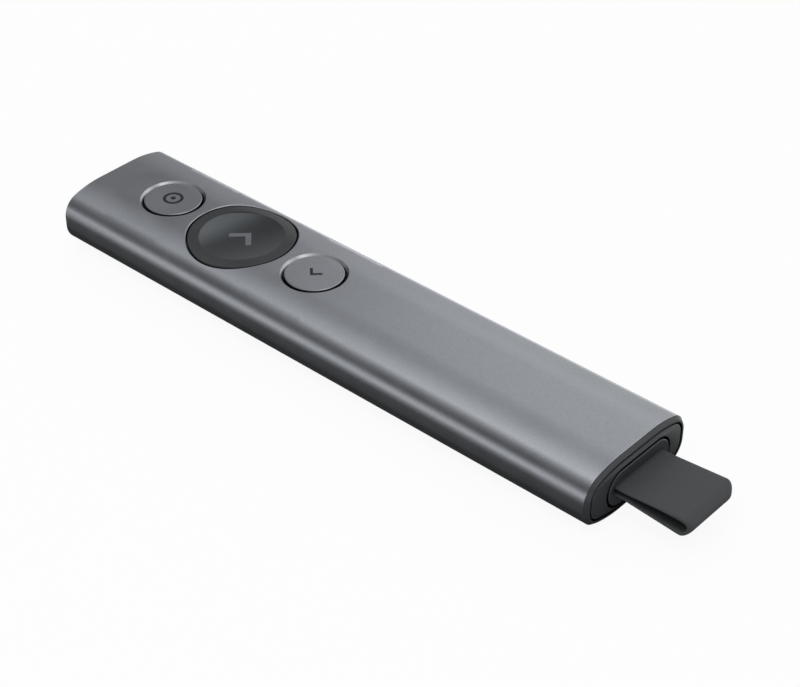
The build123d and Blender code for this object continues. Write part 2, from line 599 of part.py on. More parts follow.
def make_port_tongue():
    inner = SlotOverall(PORT_WIDTH - 2 * PORT_SHELL, PORT_HEIGHT - 2 * PORT_SHELL)
    tongue = along(Rectangle(PORT_TONGUE_WIDTH, PORT_TONGUE_THICKNESS),
                   BAY_END_Y + PORT_TONGUE_SETBACK, PORT_BACK_Y, PORT_CENTRE_Z)
    return tongue + along(inner, PORT_BACK_Y - PORT_BACK, PORT_BACK_Y, PORT_CENTRE_Z)


# ---------------------------------------------------------------- receiver
def make_receiver_cap():
    """The visible end of the receiver: a face dished towards the strap's slot, and a cross bore."""
    cap = along(SlotOverall(RECEIVER_WIDTH, RECEIVER_HEIGHT), RECEIVER_Y, RECEIVER_SPLIT_Y)
    cap = chamfer(edges_at_y(cap, RECEIVER_Y), RECEIVER_EDGE)
    step = 2 * (RECEIVER_WALL + SEAT_CLEARANCE)
    cap += along(SlotOverall(RECEIVER_WIDTH - step, RECEIVER_HEIGHT - step),
                 RECEIVER_SPLIT_Y, RECEIVER_SPLIT_Y + RECEIVER_SPIGOT)
    slot_width = STRAP_WIDTH + 2 * RUN_CLEARANCE
    slot = RectangleRounded(slot_width, SLOT_HEIGHT, SLOT_CORNER)
    mouth_height = RECEIVER_HEIGHT - 2 * FUNNEL_RIM
    mouth = RectangleRounded(RECEIVER_WIDTH - 2 * FUNNEL_RIM, mouth_height,
                             (mouth_height - FUNNEL_SIDE_FLAT) / 2)
    funnel = loft([end_plane(RECEIVER_Y) * mouth, end_plane(RECEIVER_Y + FUNNEL_DEPTH) * slot], ruled=True)
    cap -= funnel
    cap -= along(slot, RECEIVER_Y, PIN_Y)
    cap -= bar(PIN_Y, MID_Z, STRAP_EYE_RADIUS + RUN_CLEARANCE, slot_width)
    return cap - bar(PIN_Y, MID_Z, PIN_RADIUS + SEAT_CLEARANCE, RECEIVER_WIDTH)


def make_receiver_housing():
    outer = SlotOverall(RECEIVER_WIDTH, RECEIVER_HEIGHT)
    inner = SlotOverall(RECEIVER_WIDTH - 2 * RECEIVER_WALL, RECEIVER_HEIGHT - 2 * RECEIVER_WALL)
    housing = along(outer, RECEIVER_SPLIT_Y, RECEIVER_FRONT_Y)
    housing = chamfer(edges_at_y(housing, RECEIVER_FRONT_Y), RECEIVER_EDGE)
    housing -= along(inner, RECEIVER_SPLIT_Y, RECEIVER_FRONT_Y - RECEIVER_FRONT_WALL)
    window = Rectangle(PLUG_WIDTH + 2 * SEAT_CLEARANCE, PLUG_HEIGHT + 2 * SEAT_CLEARANCE)
    return housing - along(window, RECEIVER_FRONT_Y - RECEIVER_FRONT_WALL, RECEIVER_FRONT_Y)


def make_plug_shell():
    start_y = RECEIVER_FRONT_Y - PLUG_ROOT
    shell = along(RectangleRounded(PLUG_WIDTH, PLUG_HEIGHT, PLUG_CORNER), start_y, PLUG_TIP_Y)
    shell -= along(Rectangle(PLUG_WIDTH - 2 * PLUG_SHELL, PLUG_HEIGHT - 2 * PLUG_SHELL),
                   start_y, PLUG_TIP_Y)
    for x in (-PLUG_WINDOW_X, PLUG_WINDOW_X):
        shell -= Pos(x, PLUG_TIP_Y - PLUG_WINDOW_SETBACK, MID_Z) * Box(
            PLUG_WINDOW_SIZE, PLUG_WINDOW_SIZE, TALL)
    return shell


def make_plug_tongue():
    half = PLUG_WIDTH / 2 - PLUG_SHELL - SEAT_CLEARANCE
    return block((-half, RECEIVER_FRONT_Y - PLUG_ROOT, CONTACT_TOP),
                 (half, PLUG_TIP_Y - TONGUE_SETBACK, TONGUE_TOP))


def make_plug_contacts():
    strips = []
    for x in (-CONTACT_OUTER_X, -CONTACT_INNER_X, CONTACT_INNER_X, CONTACT_OUTER_X):
        strips.append(block((x - CONTACT_WIDTH / 2, RECEIVER_FRONT_Y - CONTACT_TAIL,
                             CONTACT_TOP - CONTACT_THICKNESS),
                            (x + CONTACT_WIDTH / 2, PLUG_TIP_Y - 2 * TONGUE_SETBACK, CONTACT_TOP)))
    return Compound(strips)


def make_receiver_board():
    top = CONTACT_TOP - CONTACT_THICKNESS
    half = RECEIVER_BOARD_WIDTH / 2
    start_y = RECEIVER_SPLIT_Y + RECEIVER_SPIGOT + SEAT_CLEARANCE
    return block((-half, start_y, top - RECEIVER_BOARD_THICKNESS),
                 (half, RECEIVER_FRONT_Y - SEAT_CLEARANCE, top))


def make_receiver_chip():
    start_y = RECEIVER_SPLIT_Y + RECEIVER_SPIGOT
    return component(RECEIVER_CHIP_SIZE, 0, start_y + RECEIVER_CHIP_SIZE[1] / 2 + SEAT_CLEARANCE,
                     CONTACT_TOP - CONTACT_THICKNESS)


def teardrop(end_radius, root_half, root_y, foot_y):
    """A round end beyond two legs that close in to root_y and run on level to foot_y."""
    centre_y = RECEIVER_Y - STRAP_REACH + STRAP_END_RADIUS
    reach = hypot(root_y - centre_y, root_half)
    angle = atan2(root_half, root_y - centre_y) + acos(end_radius / reach)
    tangent = (centre_y + end_radius * cos(angle), end_radius * sin(angle))
    leg = Line((foot_y, root_half), (root_y, root_half)) + Line((root_y, root_half), tangent)
    end = ThreePointArc(tangent, (centre_y - end_radius, 0), (tangent[0], -tangent[1]))
    foot = Line((foot_y, root_half), (foot_y, -root_half))
    return make_face(leg + end + mirror(leg, Plane.XZ) + foot)


def across(face, half_width):
    """A solid across the body from a face drawn with y across and z up."""
    plane = Plane(origin=(0, 0, MID_Z), x_dir=(0, 1, 0), z_dir=(1, 0, 0))
    return extrude(plane * face, amount=half_width, both=True)


def make_strap():
    """A loop that is a teardrop from the side and rounded in plan, with an eye round the pin."""
    half = STRAP_WIDTH / 2
    root_y = RECEIVER_Y - STRAP_LEVEL
    loop = across(teardrop(STRAP_END_RADIUS, STRAP_ROOT / 2, root_y, PIN_Y), half)
    by_side = loop.edges().group_by(Axis.X)
    side_edges = [edge for edge in by_side[0] + by_side[-1] if edge.center().Y < PIN_Y - STRAP_EDGE_RADIUS]
    loop = fillet(side_edges, STRAP_EDGE_RADIUS)
    end_y = RECEIVER_Y - STRAP_REACH
    loop &= extrude(Pos(0, end_y / 2) * RectangleRounded(STRAP_WIDTH, -end_y, STRAP_CORNER), amount=TALL)
    gap = teardrop(STRAP_END_RADIUS - STRAP_WALL, STRAP_ROOT / 2 - STRAP_WALL,
                   root_y, RECEIVER_Y + STRAP_GAP_DEPTH)
    strap = loop - across(gap, STRAP_WIDTH)
    strap += bar(PIN_Y, MID_Z, STRAP_EYE_RADIUS, STRAP_WIDTH)
    return strap - bar(PIN_Y, MID_Z, PIN_RADIUS + SEAT_CLEARANCE, STRAP_WIDTH)


def make_strap_pin():
    return bar(PIN_Y, MID_Z, PIN_RADIUS, PIN_LENGTH)


# ---------------------------------------------------------------- electronics
def make_battery_cell():
    cell = component((BATTERY_WIDTH, BATTERY_LENGTH, BATTERY_HEIGHT), 0, BATTERY_Y, BATTERY_BASE)
    return fillet(cell.edges().filter_by(Axis.Y), BATTERY_CORNER)


def make_battery_tape():
    size = (BATTERY_WIDTH - 2 * BATTERY_CORNER, BATTERY_LENGTH, TAPE_THICKNESS)
    return component(size, 0, BATTERY_Y)


def make_battery_foam():
    base_z = BATTERY_BASE + BATTERY_HEIGHT
    height = HEIGHT - WALL - FOAM_GAP - base_z
    width = min(BATTERY_WIDTH, CROWN_FLAT)
    size = (width - 2 * FOAM_INSET, BATTERY_LENGTH - 2 * FOAM_INSET, height)
    return component(size, 0, BATTERY_Y, base_z)


def make_battery_leads():
    """Two leads that run from the end of the cell straight into its connector."""
    z = BOARD_TOP + CONNECTOR_SIZE[2] / 2
    return Compound([rod(side * LEAD_PITCH / 2, z, LEAD_RADIUS, BATTERY_NOSE_Y, BATTERY_NOSE_Y + LEAD_RUN)
                     for side in (-1, 1)])


def make_battery_connector():
    return component(CONNECTOR_SIZE, 0, CONNECTOR_Y)


def make_vibration_motor():
    motor = post(0, MOTOR_Y, MOTOR_RADIUS, BOARD_TOP, BOARD_TOP + MOTOR_HEIGHT)
    return chamfer(motor.edges().group_by(Axis.Z)[-1], MOTOR_EDGE)


def make_passives():
    """Small soldered parts in a row each side of the charging port's back end."""
    first_y = CHARGER_Y + CHARGER_SIZE[1]
    return Compound([component(PASSIVE_SIZE, -CHARGER_X, first_y + i * PASSIVE_PITCH)
                     for i in range(PASSIVE_COUNT)])


# ---------------------------------------------------------------- every node
NODES = {
    "sleeve": make_sleeve(),
    "nose_cap": make_nose_cap(),
    "light_pipe": make_light_pipe(),
    "tail_bezel": make_tail_bezel(),
    "tail_plate": make_tail_plate(),
    "tail_screws": make_tail_screws(),
    "receiver_bay": make_receiver_bay(),
    "bay_springs": make_bay_springs(),
    "tray": make_tray(),
    "button_frame": make_button_frame(),
    "cartridge_screws": make_cartridge_screws(),
    "main_board": make_board(),
    "port_shell": make_port_shell(),
    "port_tongue": make_port_tongue(),
    "battery_cell": make_battery_cell(),
    "battery_tape": make_battery_tape(),
    "battery_foam": make_battery_foam(),
    "battery_leads": make_battery_leads(),
    "battery_connector": make_battery_connector(),
    "vibration_motor": make_vibration_motor(),
    "radio_chip": component(RADIO_SIZE, 0, RADIO_Y),
    "crystal": component(CRYSTAL_SIZE, CRYSTAL_X, RADIO_Y),
    "motion_sensor": component(SENSOR_SIZE, 0, BETWEEN_Y[0]),
    "charging_chip": component(CHARGER_SIZE, -CHARGER_X, CHARGER_Y),
    "board_passives": make_passives(),
    "chip_antenna": component(ANTENNA_SIZE, ANTENNA_X, BOARD_NOSE_Y - ANTENNA_SIZE[1] / 2),
    "status_led": component(LED_SIZE, 0, LIGHT_Y),
    "pointer_switch": make_switch(POINTER_Y),
    "next_switch": make_switch(NEXT_Y),
    "back_switch": make_switch(BACK_Y),
    "pointer_cap": make_cap(POINTER_Y, SMALL_FACE_RADIUS),
    "next_cap": make_next_cap(),
    "back_cap": make_cap(BACK_Y, SMALL_FACE_RADIUS),
    "pointer_plunger": make_plunger(POINTER_Y),
    "next_plunger": make_plunger(NEXT_Y),
    "back_plunger": make_plunger(BACK_Y),
    "receiver_cap": make_receiver_cap(),
    "receiver_housing": make_receiver_housing(),
    "plug_shell": make_plug_shell(),
    "plug_tongue": make_plug_tongue(),
    "plug_contacts": make_plug_contacts(),
    "receiver_board": make_receiver_board(),
    "receiver_chip": make_receiver_chip(),
    "strap": make_strap(),
    "strap_pin": make_strap_pin(),
}

os.makedirs("parts", exist_ok=True)
for name, solid in NODES.items():
    export_step(solid, f"parts/{name}.step")
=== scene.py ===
from math import acos, asin, atan2, ceil, copysign, cos, hypot, pi, radians, sin, sqrt

import bmesh
import bpy
from mathutils import Matrix, Vector


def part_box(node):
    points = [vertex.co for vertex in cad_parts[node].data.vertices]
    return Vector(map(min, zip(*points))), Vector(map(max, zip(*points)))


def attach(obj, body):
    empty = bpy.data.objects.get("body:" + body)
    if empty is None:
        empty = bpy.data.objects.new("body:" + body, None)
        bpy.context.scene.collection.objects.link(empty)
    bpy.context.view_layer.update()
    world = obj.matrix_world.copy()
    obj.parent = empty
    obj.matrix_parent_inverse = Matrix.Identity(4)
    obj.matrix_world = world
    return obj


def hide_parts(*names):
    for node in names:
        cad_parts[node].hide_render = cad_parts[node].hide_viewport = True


# Wireless presentation clicker.  Blender works in metres; lengths named here are in millimetres and
# go through MM, apart from those of the floor, the tent and the lamps, which are in metres.
# The frame is the CAD's: nose at +Y, strap at -Y, the resting strip at Z = 0.
MM = 0.001

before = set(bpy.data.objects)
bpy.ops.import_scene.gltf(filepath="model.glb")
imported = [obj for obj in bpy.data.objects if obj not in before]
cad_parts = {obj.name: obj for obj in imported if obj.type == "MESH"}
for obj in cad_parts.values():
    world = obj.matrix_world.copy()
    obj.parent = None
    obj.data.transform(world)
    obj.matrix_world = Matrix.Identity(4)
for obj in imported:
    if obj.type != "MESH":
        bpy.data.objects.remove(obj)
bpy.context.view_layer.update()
bpy.context.scene.view_settings.view_transform = "Standard"

# ---------------------------------------------------------------- sizes shared with the solids
SLEEVE_LOW, SLEEVE_HIGH = [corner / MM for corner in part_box("sleeve")]
RECEIVER_LOW, RECEIVER_HIGH = [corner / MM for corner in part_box("receiver_cap")]
STRAP_LOW, STRAP_HIGH = [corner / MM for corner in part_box("strap")]
PIN_LOW, PIN_HIGH = [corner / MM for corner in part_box("strap_pin")]
WIDTH = SLEEVE_HIGH.x - SLEEVE_LOW.x
HEIGHT = SLEEVE_HIGH.z - SLEEVE_LOW.z
MID_Z = (SLEEVE_LOW.z + SLEEVE_HIGH.z) / 2
NOSE_Y = SLEEVE_HIGH.y
TUBE_TAIL_Y = SLEEVE_LOW.y

CROWN_FLAT = 8.7            # width of the flat strip along the top and the bottom
CROWN_RADIUS = 22.35
SIDE_FLAT = 1.92
WALL = 1.2
END_CHAMFER = 0.15
REBATE_DEPTH = 0.8          # the bezel's seat in the tail end
REBATE_INSET = 0.6
SMALL_GAP = 0.3             # round a small cap
SMALL_HOLE_CHAMFER = 0.5
NEXT_GAP = 0.25
NEXT_HOLE_CHAMFER = 0.15
FLANGE_WIDTH = 0.9
DISH_RADIUS = 8.35

# The shoulder arc is tangent to both the crown arc and the flat side.
SHOULDER_REACH = WIDTH / 2 - CROWN_FLAT / 2
SHOULDER_RISE = HEIGHT / 2 - SIDE_FLAT / 2
SHOULDER_RADIUS = ((2 * CROWN_RADIUS * SHOULDER_RISE - SHOULDER_REACH ** 2 - SHOULDER_RISE ** 2)
                   / (2 * (CROWN_RADIUS - SHOULDER_REACH)))
SHOULDER_X = WIDTH / 2 - SHOULDER_RADIUS
CROWN_TURN = asin((SHOULDER_X - CROWN_FLAT / 2) / (CROWN_RADIUS - SHOULDER_RADIUS))


def cap_place(node):
    """Where a button's middle lies along the body, and the radius of its face."""
    low, high = [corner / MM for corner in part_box(node)]
    return (low.y + high.y) / 2, (high.y - low.y) / 2 - FLANGE_WIDTH


POINTER_Y, SMALL_FACE_RADIUS = cap_place("pointer_cap")
NEXT_Y, NEXT_FACE_RADIUS = cap_place("next_cap")
BACK_Y = cap_place("back_cap")[0]
HOLES = [
    (BACK_Y, SMALL_FACE_RADIUS + SMALL_GAP, SMALL_HOLE_CHAMFER),
    (NEXT_Y, NEXT_FACE_RADIUS + NEXT_GAP, NEXT_HOLE_CHAMFER),
    (POINTER_Y, SMALL_FACE_RADIUS + SMALL_GAP, SMALL_HOLE_CHAMFER),
]

# ---------------------------------------------------------------- camera
CAMERA_AZIMUTH = radians(-48.38)
CAMERA_ELEVATION = radians(36.79)
CAMERA_DISTANCE = 368.9
CAMERA_RIGHT = 8.79         # how far the camera's axis passes the body's middle
CAMERA_DOWN = 4.55
CAMERA_LENS = 88.58
CAMERA_SENSOR = 36
CAMERA_ROLL = radians(0.12)


def make_camera():
    back = Vector((sin(CAMERA_AZIMUTH) * cos(CAMERA_ELEVATION),
                   -cos(CAMERA_AZIMUTH) * cos(CAMERA_ELEVATION),
                   sin(CAMERA_ELEVATION)))
    right = Vector((0, 0, 1)).cross(back).normalized()
    up = back.cross(right)
    place = CAMERA_DISTANCE * back + CAMERA_RIGHT * right - CAMERA_DOWN * up + Vector((0, 0, MID_Z))
    roll = Matrix.Rotation(CAMERA_ROLL, 3, back)
    data = bpy.data.cameras.new("camera")
    data.lens = CAMERA_LENS
    data.sensor_width = CAMERA_SENSOR
    data.clip_start = 0.01
    data.clip_end = 20
    camera = bpy.data.objects.new("camera", data)
    camera.location = place * MM
    camera.rotation_mode = "QUATERNION"
    camera.rotation_quaternion = Matrix((roll @ right, roll @ up, back)).transposed().to_quaternion()
    bpy.context.scene.collection.objects.link(camera)
    bpy.context.scene.camera = camera


make_camera()


# ---------------------------------------------------------------- node helpers
def node(tree, kind, sockets=None, **settings):
    """A new shader node. Each socket gets a plain value, or the output that feeds it."""
    made = tree.nodes.new("ShaderNode" + kind)
    for name, value in settings.items():
        setattr(made, name, value)
    for name, value in (sockets or {}).items():
        if isinstance(value, bpy.types.NodeSocket):
            tree.links.new(value, made.inputs[name])
        else:
            made.inputs[name].default_value = value
    return made


def mix_colours(tree, factor, first, second, mode="MIX"):
    """A colour mix; the node's colour sockets are known by their places, as their names repeat."""
    sockets = {0: factor, 6: first, 7: second}
    return node(tree, "Mix", sockets, data_type="RGBA", blend_type=mode).outputs[2]


def remap(tree, value, low, high, to_low, to_high):
    return node(tree, "MapRange", {"Value": value, "From Min": low, "From Max": high,
                                   "To Min": to_low, "To Max": to_high}).outputs["Result"]


def noise(tree, size, detail=2.0, stretch=(1, 1, 1)):
    """Noise whose grains are about size millimetres across, fixed to the object."""
    place = node(tree, "TexCoord").outputs["Object"]
    if stretch != (1, 1, 1):
        place = node(tree, "Mapping", {"Vector": place, "Scale": stretch}).outputs["Vector"]
    sockets = {"Vector": place, "Scale": 1 / (size * MM), "Detail": detail}
    return node(tree, "TexNoise", sockets).outputs["Fac"]


def rgb(colour, gain=1.0):
    return tuple(min(channel * gain, 1) for channel in colour) + (1,)


EDGE_LIKENESS = (0.998, 0.93)   # of the plain and the rounded normal, on a face and on an edge
SHADE_SPAN = (0.35, 0.65)       # most of a noise lies between these
NOISE_SPAN = (0.3, 0.7)
WORN_PALER = 0.25               # how far a rubbed edge goes towards white


def edge_mask(tree, radius):
    """1 on sharp edges, 0 on open faces; and the normal that a slightly rounded edge would have."""
    rounded = node(tree, "Bevel", {"Radius": radius * MM}, samples=4).outputs["Normal"]
    plain = node(tree, "NewGeometry").outputs["Normal"]
    likeness = node(tree, "VectorMath", {0: rounded, 1: plain}, operation="DOT_PRODUCT").outputs["Value"]
    return remap(tree, likeness, *EDGE_LIKENESS, 0, 1), rounded


def finish(name, colour, roughness, metallic=0.0, specular=0.5, ior=1.5, tint=(1, 1, 1),
           grain=0.25, stretch=(1, 1, 1), depth=0.003, speckle=0.05,
           patch=7.0, mottle=0.04, rough_spread=0.05, edge=0.08, wear=0.25):
    """A moulded or metal surface: fine grain, slow patches of shade and gloss, and rubbed edges.
    Grain, depth, patch and edge are in millimetres."""
    material = bpy.data.materials.new(name)
    material.use_nodes = True
    tree = material.node_tree
    shader = tree.nodes["Principled BSDF"]
    plain = {"Metallic": metallic, "Specular IOR Level": specular, "IOR": ior, "Specular Tint": (*tint, 1)}
    for socket, value in plain.items():
        shader.inputs[socket].default_value = value
    fine = noise(tree, grain, detail=3.0, stretch=stretch)
    slow = noise(tree, patch)
    rubbed, rounded = edge_mask(tree, edge)
    darker, lighter = rgb(colour, 1 - mottle), rgb(colour, 1 + mottle)
    shade = mix_colours(tree, remap(tree, slow, *SHADE_SPAN, 0, 1), darker, lighter)
    grey = remap(tree, fine, *NOISE_SPAN, 1 - speckle, 1 + speckle)
    grained = mix_colours(tree, 1.0, shade, grey, "MULTIPLY")
    uneven = remap(tree, slow, *NOISE_SPAN, wear / 2, wear)
    worn = node(tree, "Math", {0: rubbed, 1: uneven}, operation="MULTIPLY").outputs[0]
    paler = rgb([channel + WORN_PALER * (1 - channel) for channel in colour])
    tree.links.new(mix_colours(tree, worn, grained, paler), shader.inputs["Base Color"])
    gloss = remap(tree, slow, *NOISE_SPAN, roughness - rough_spread, roughness + rough_spread)
    tree.links.new(gloss, shader.inputs["Roughness"])
    bump = node(tree, "Bump", {"Height": fine, "Normal": rounded, "Strength": 1.0, "Distance": depth * MM})
    tree.links.new(bump.outputs["Normal"], shader.inputs["Normal"])
    return material


def dress(material, *nodes):
    """The CAD nodes wear this material."""
    for name in nodes:
        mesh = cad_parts[name].data
        mesh.materials.clear()
        mesh.materials.append(material)


def dress_some(material, picked, *nodes):
    """The faces that picked(centre, normal) chooses, in millimetres, wear one more material."""
    for name in nodes:
        node_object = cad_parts[name]
        mesh = node_object.data
        mesh.materials.append(material)
        place = node_object.matrix_world
        for face in mesh.polygons:
            if picked(place @ face.center / MM, place.to_3x3() @ face.normal):
                face.material_index = len(mesh.materials) - 1


CAP_EDGE_DEPTH = 0.35       # a small cap shows this far down from the crown
WALL_LEAN = 0.3             # the normal of a wall that runs along the body has less than this along Y


def under_a_cap(centre, normal):
    """On a cap's flange or its side, past the edge that shows; these faces get painted shade."""
    return centre.z < HEIGHT - CAP_EDGE_DEPTH


def faces_out(centre, normal):
    """Over 0 on a wall that faces away from the body's middle line, under 0 on one that faces it,
    and 0 on a face that isn't such a wall."""
    if abs(normal.y) >= WALL_LEAN:
        return 0
    return normal.dot(Vector((centre.x, 0, centre.z - MID_Z)))


# These two pick the walls that get painted shade: inside the bezel's groove, and round the receiver cap's
# sides.
def in_a_groove(centre, normal):
    return faces_out(centre, normal) < 0


def round_the_side(centre, normal):
    return faces_out(centre, normal) > 0


# ---------------------------------------------------------------- floor, world and lights
def mark_seen(tree):
    """1 for a ray that shows the background: straight to the camera, mirrored or through glass."""
    path = node(tree, "LightPath")
    seen = path.outputs["Is Camera Ray"]
    for kind in ("Is Glossy Ray", "Is Transmission Ray"):
        seen = node(tree, "Math", {0: seen, 1: path.outputs[kind]}, operation="MAXIMUM").outputs[0]
    return seen


FILL = 0.55                 # brightness of the room round the object
SHADOW_SHARE = 0.12         # where the floor is seen, this share of it is lit and the rest glows
FLOOR_GLOW = 1.05
FLOOR_SHADE = 0.62
FLOOR_HALF = 4


def make_world():
    world = bpy.data.worlds.new("studio")
    bpy.context.scene.world = world
    world.use_nodes = True
    tree = world.node_tree
    strength = remap(tree, mark_seen(tree), 0, 1, FILL, 1)
    background = tree.nodes["Background"]
    background.inputs["Color"].default_value = (1, 1, 1, 1)
    tree.links.new(strength, background.inputs["Strength"])


def make_floor():
    bm = bmesh.new()
    bmesh.ops.create_grid(bm, x_segments=8, y_segments=8, size=FLOOR_HALF)
    mesh = bpy.data.meshes.new("floor")
    bm.to_mesh(mesh)
    bm.free()
    floor = bpy.data.objects.new("floor", mesh)
    bpy.context.scene.collection.objects.link(floor)
    material = bpy.data.materials.new("floor")
    material.use_nodes = True
    tree = material.node_tree
    matt = tree.nodes["Principled BSDF"]
    matt.inputs["Base Color"].default_value = (FLOOR_SHADE, FLOOR_SHADE, FLOOR_SHADE, 1)
    matt.inputs["Roughness"].default_value = 0.9
    matt.inputs["Specular IOR Level"].default_value = 0
    glow = node(tree, "Emission", {"Color": (1, 1, 1, 1), "Strength": FLOOR_GLOW})
    share = remap(tree, mark_seen(tree), 0, 1, 0, 1 - SHADOW_SHARE)
    both = node(tree, "MixShader", {0: share, 1: matt.outputs[0], 2: glow.outputs[0]})
    tree.links.new(both.outputs[0], tree.nodes["Material Output"].inputs["Surface"])
    mesh.materials.append(material)


def make_lamp(name, place, size, power):
    """A large soft lamp aimed at the object. Metal mirrors the cards round it instead."""
    data = bpy.data.lights.new(name, "AREA")
    data.shape = "DISK"
    data.size = size
    data.energy = power
    lamp = bpy.data.objects.new(name, data)
    lamp.location = place
    lamp.rotation_mode = "QUATERNION"
    lamp.rotation_quaternion = Vector(place).to_track_quat("Z", "Y")
    lamp.visible_glossy = False
    bpy.context.scene.collection.objects.link(lamp)


CARD_RADIUS = 0.5
CARD_ENDS = (-1.2, 1.6)     # along Y
CARD_FADE = (0.31, 0.37)    # here along Y the tail brightness of the cards turns into the nose one
# Angle in degrees round the body from +X over the top, brightness at the tail, brightness at the nose.
CARDS = [
    (0, 0.75, 0.5),
    (22, 0.75, 0.45),
    (35, 1.15, 0.4),
    (47, 0.92, 0.18),
    (58, 0.52, 0.24),
    (70, 0.52, 0.42),
    (84, 1.65, 0.8),
    (104, 1.0, 0.38),
    (118, 0.45, 0.24),
    (140, 0.15, 0.15),
    (158, 0.05, 0.3),
    (172, 0.85, 1.35),
    (188, 1.35, 1.25),
    (200, 0.3, 0.3),
]
TENT_STEPS = 120
TAIL_WALL = 0.3             # brightness of the walls that close the tent
NOSE_WALL = 0.02

# The card on the floor is measured in millimetres: distance from the object's outline, and brightness. Near
# the object it is dark, painted shade for the floor's shade round the body as the metal mirrors it.
FLOOR_SHADE_RAMP = [(0, 0.05), (5, 0.05), (11, 0.2), (22, 0.35), (35, 0.8), (57, 1.3)]
FLOOR_CARD_HALF = 350
FLOOR_CARD_Z = 0.05
FLOOR_CARD_END = (100, 160)     # between these Y it fades to black
# It gets bright off three sides of the object: axis, direction, the outline's place and how soon.
FLOOR_SIDES = [("X", -1, WIDTH / 2, 1), ("X", 1, WIDTH / 2, 3), ("Y", -1, NOSE_Y, 1)]


def brightness_ramp(tree, value, stops, column=1):
    """Brightness over a value, both as in the stops; a ramp holds no more than 1, so at half size."""
    low, high = stops[0][0], stops[-1][0]
    ramp = node(tree, "ValToRGB", {"Fac": remap(tree, value, low, high, 0, 1)})
    points = ramp.color_ramp.elements
    for stop in stops[1:-1]:
        points.new((stop[0] - low) / (high - low))
    for point, stop in zip(points, stops):
        point.color = (stop[column] / 2,) * 3 + (1,)
    return ramp.outputs["Color"]


def make_card(name, corners, faces, brightness):
    """A glowing card that only reflections show; brightness(tree, place) gives its colour in halves."""
    mesh = bpy.data.meshes.new(name)
    mesh.from_pydata(corners, [], faces)
    card = bpy.data.objects.new(name, mesh)
    bpy.context.scene.collection.objects.link(card)
    material = bpy.data.materials.new(name)
    material.use_nodes = True
    tree = material.node_tree
    tree.nodes.remove(tree.nodes["Principled BSDF"])
    place = node(tree, "SeparateXYZ", {0: node(tree, "TexCoord").outputs["Object"]})
    glow = node(tree, "Emission", {"Color": brightness(tree, place), "Strength": 2.0})
    tree.links.new(glow.outputs[0], tree.nodes["Material Output"].inputs["Surface"])
    mesh.materials.append(material)
    for ray in ("camera", "diffuse", "transmission", "volume_scatter", "shadow"):
        setattr(card, "visible_" + ray, False)


def make_tent():
    """One arched tent of light and dark cards over the object."""
    first, last = CARDS[0][0], CARDS[-1][0]
    angles = [radians(first + (last - first) * i / TENT_STEPS) for i in range(TENT_STEPS + 1)]
    corners = [(CARD_RADIUS * cos(a), y, CARD_RADIUS * sin(a)) for y in CARD_ENDS for a in angles]
    far = TENT_STEPS + 1
    faces = [(i, i + 1, far + i + 1, far + i) for i in range(TENT_STEPS)]

    def brightness(tree, place):
        # the angle jumps only straight under the object, where the tent is open
        sides = {0: place.outputs["X"], 1: place.outputs["Z"]}
        angle = node(tree, "Math", sides, operation="ARCTAN2").outputs[0]
        turn = remap(tree, angle, -pi, pi, 270, -90)
        along = remap(tree, place.outputs["Y"], *CARD_FADE, 0, 1)
        tail, nose = [brightness_ramp(tree, turn, CARDS, column) for column in (1, 2)]
        return mix_colours(tree, along, tail, nose)

    make_card("tent", corners, faces, brightness)


def make_end_wall(name, y, level):
    """A wall of one brightness that closes an end of the tent."""
    corners = [(x * CARD_RADIUS, y, z * CARD_RADIUS) for x, z in ((-1, 0), (1, 0), (1, 1), (-1, 1))]
    make_card(name, corners, [(0, 1, 2, 3)], lambda tree, place: (level / 2, level / 2, level / 2, 1))


def make_floor_card():
    """Just over the floor: dark near the object as painted shade for the floor's shade round the body, so
    that the body's lower sides mirror a dark band.
    """
    reach = FLOOR_CARD_HALF * MM
    corners = [(x * reach, y * reach, FLOOR_CARD_Z * MM) for x, y in ((-1, -1), (1, -1), (1, 1), (-1, 1))]

    def brightness(tree, place):
        away = 0
        for axis, direction, outline, spread in FLOOR_SIDES:
            terms = {0: place.outputs[axis], 1: direction * spread / MM, 2: -spread * outline}
            beyond = node(tree, "Math", terms, operation="MULTIPLY_ADD").outputs[0]
            away = node(tree, "Math", {0: beyond, 1: away}, operation="MAXIMUM").outputs[0]
        ahead = remap(tree, place.outputs["Y"], *[end * MM for end in FLOOR_CARD_END], 1, 0)
        return mix_colours(tree, 1.0, brightness_ramp(tree, away, FLOOR_SHADE_RAMP), ahead, "MULTIPLY")

    make_card("floor_shade_card", corners, [(0, 1, 2, 3)], brightness)


make_world()
make_floor()
make_tent()
make_end_wall("tail_wall", CARD_ENDS[0], TAIL_WALL)
make_end_wall("nose_wall", CARD_ENDS[1], NOSE_WALL)
make_floor_card()
make_lamp("key", place=(-0.35, -0.1, 0.9), size=0.7, power=2.6)
make_lamp("rim", place=(0.5, 0.5, 0.6), size=0.6, power=0.8)


# ---------------------------------------------------------------- materials
ALUMINIUM = finish("aluminium", (0.353, 0.369, 0.398), 0.34, metallic=1.0, grain=0.2, depth=0.006,
                   speckle=0.1, mottle=0.02, rough_spread=0.02, wear=0.5, edge=0.05)
# Brighter metal on the tail end's chamfer and the small holes' chamfers: a painted highlight for the glint
# along those edges.
CHAMFER_PAINTED_HIGHLIGHT = finish("chamfer_painted_highlight", (0.5, 0.51, 0.53), 0.27, metallic=1.0, grain=0.1, depth=0.001,
                    speckle=0.02, mottle=0.02, rough_spread=0.03, wear=0.1, edge=0.03)
# Near-black metal on the holes' bores and on the small caps below their showing edge: painted shade for the
# dark gaps round the buttons.
BORE_PAINTED_SHADE = finish("bore_painted_shade", (0.03, 0.032, 0.035), 0.6, metallic=1.0, grain=0.2, depth=0.004,
                    speckle=0.05, wear=0.0)
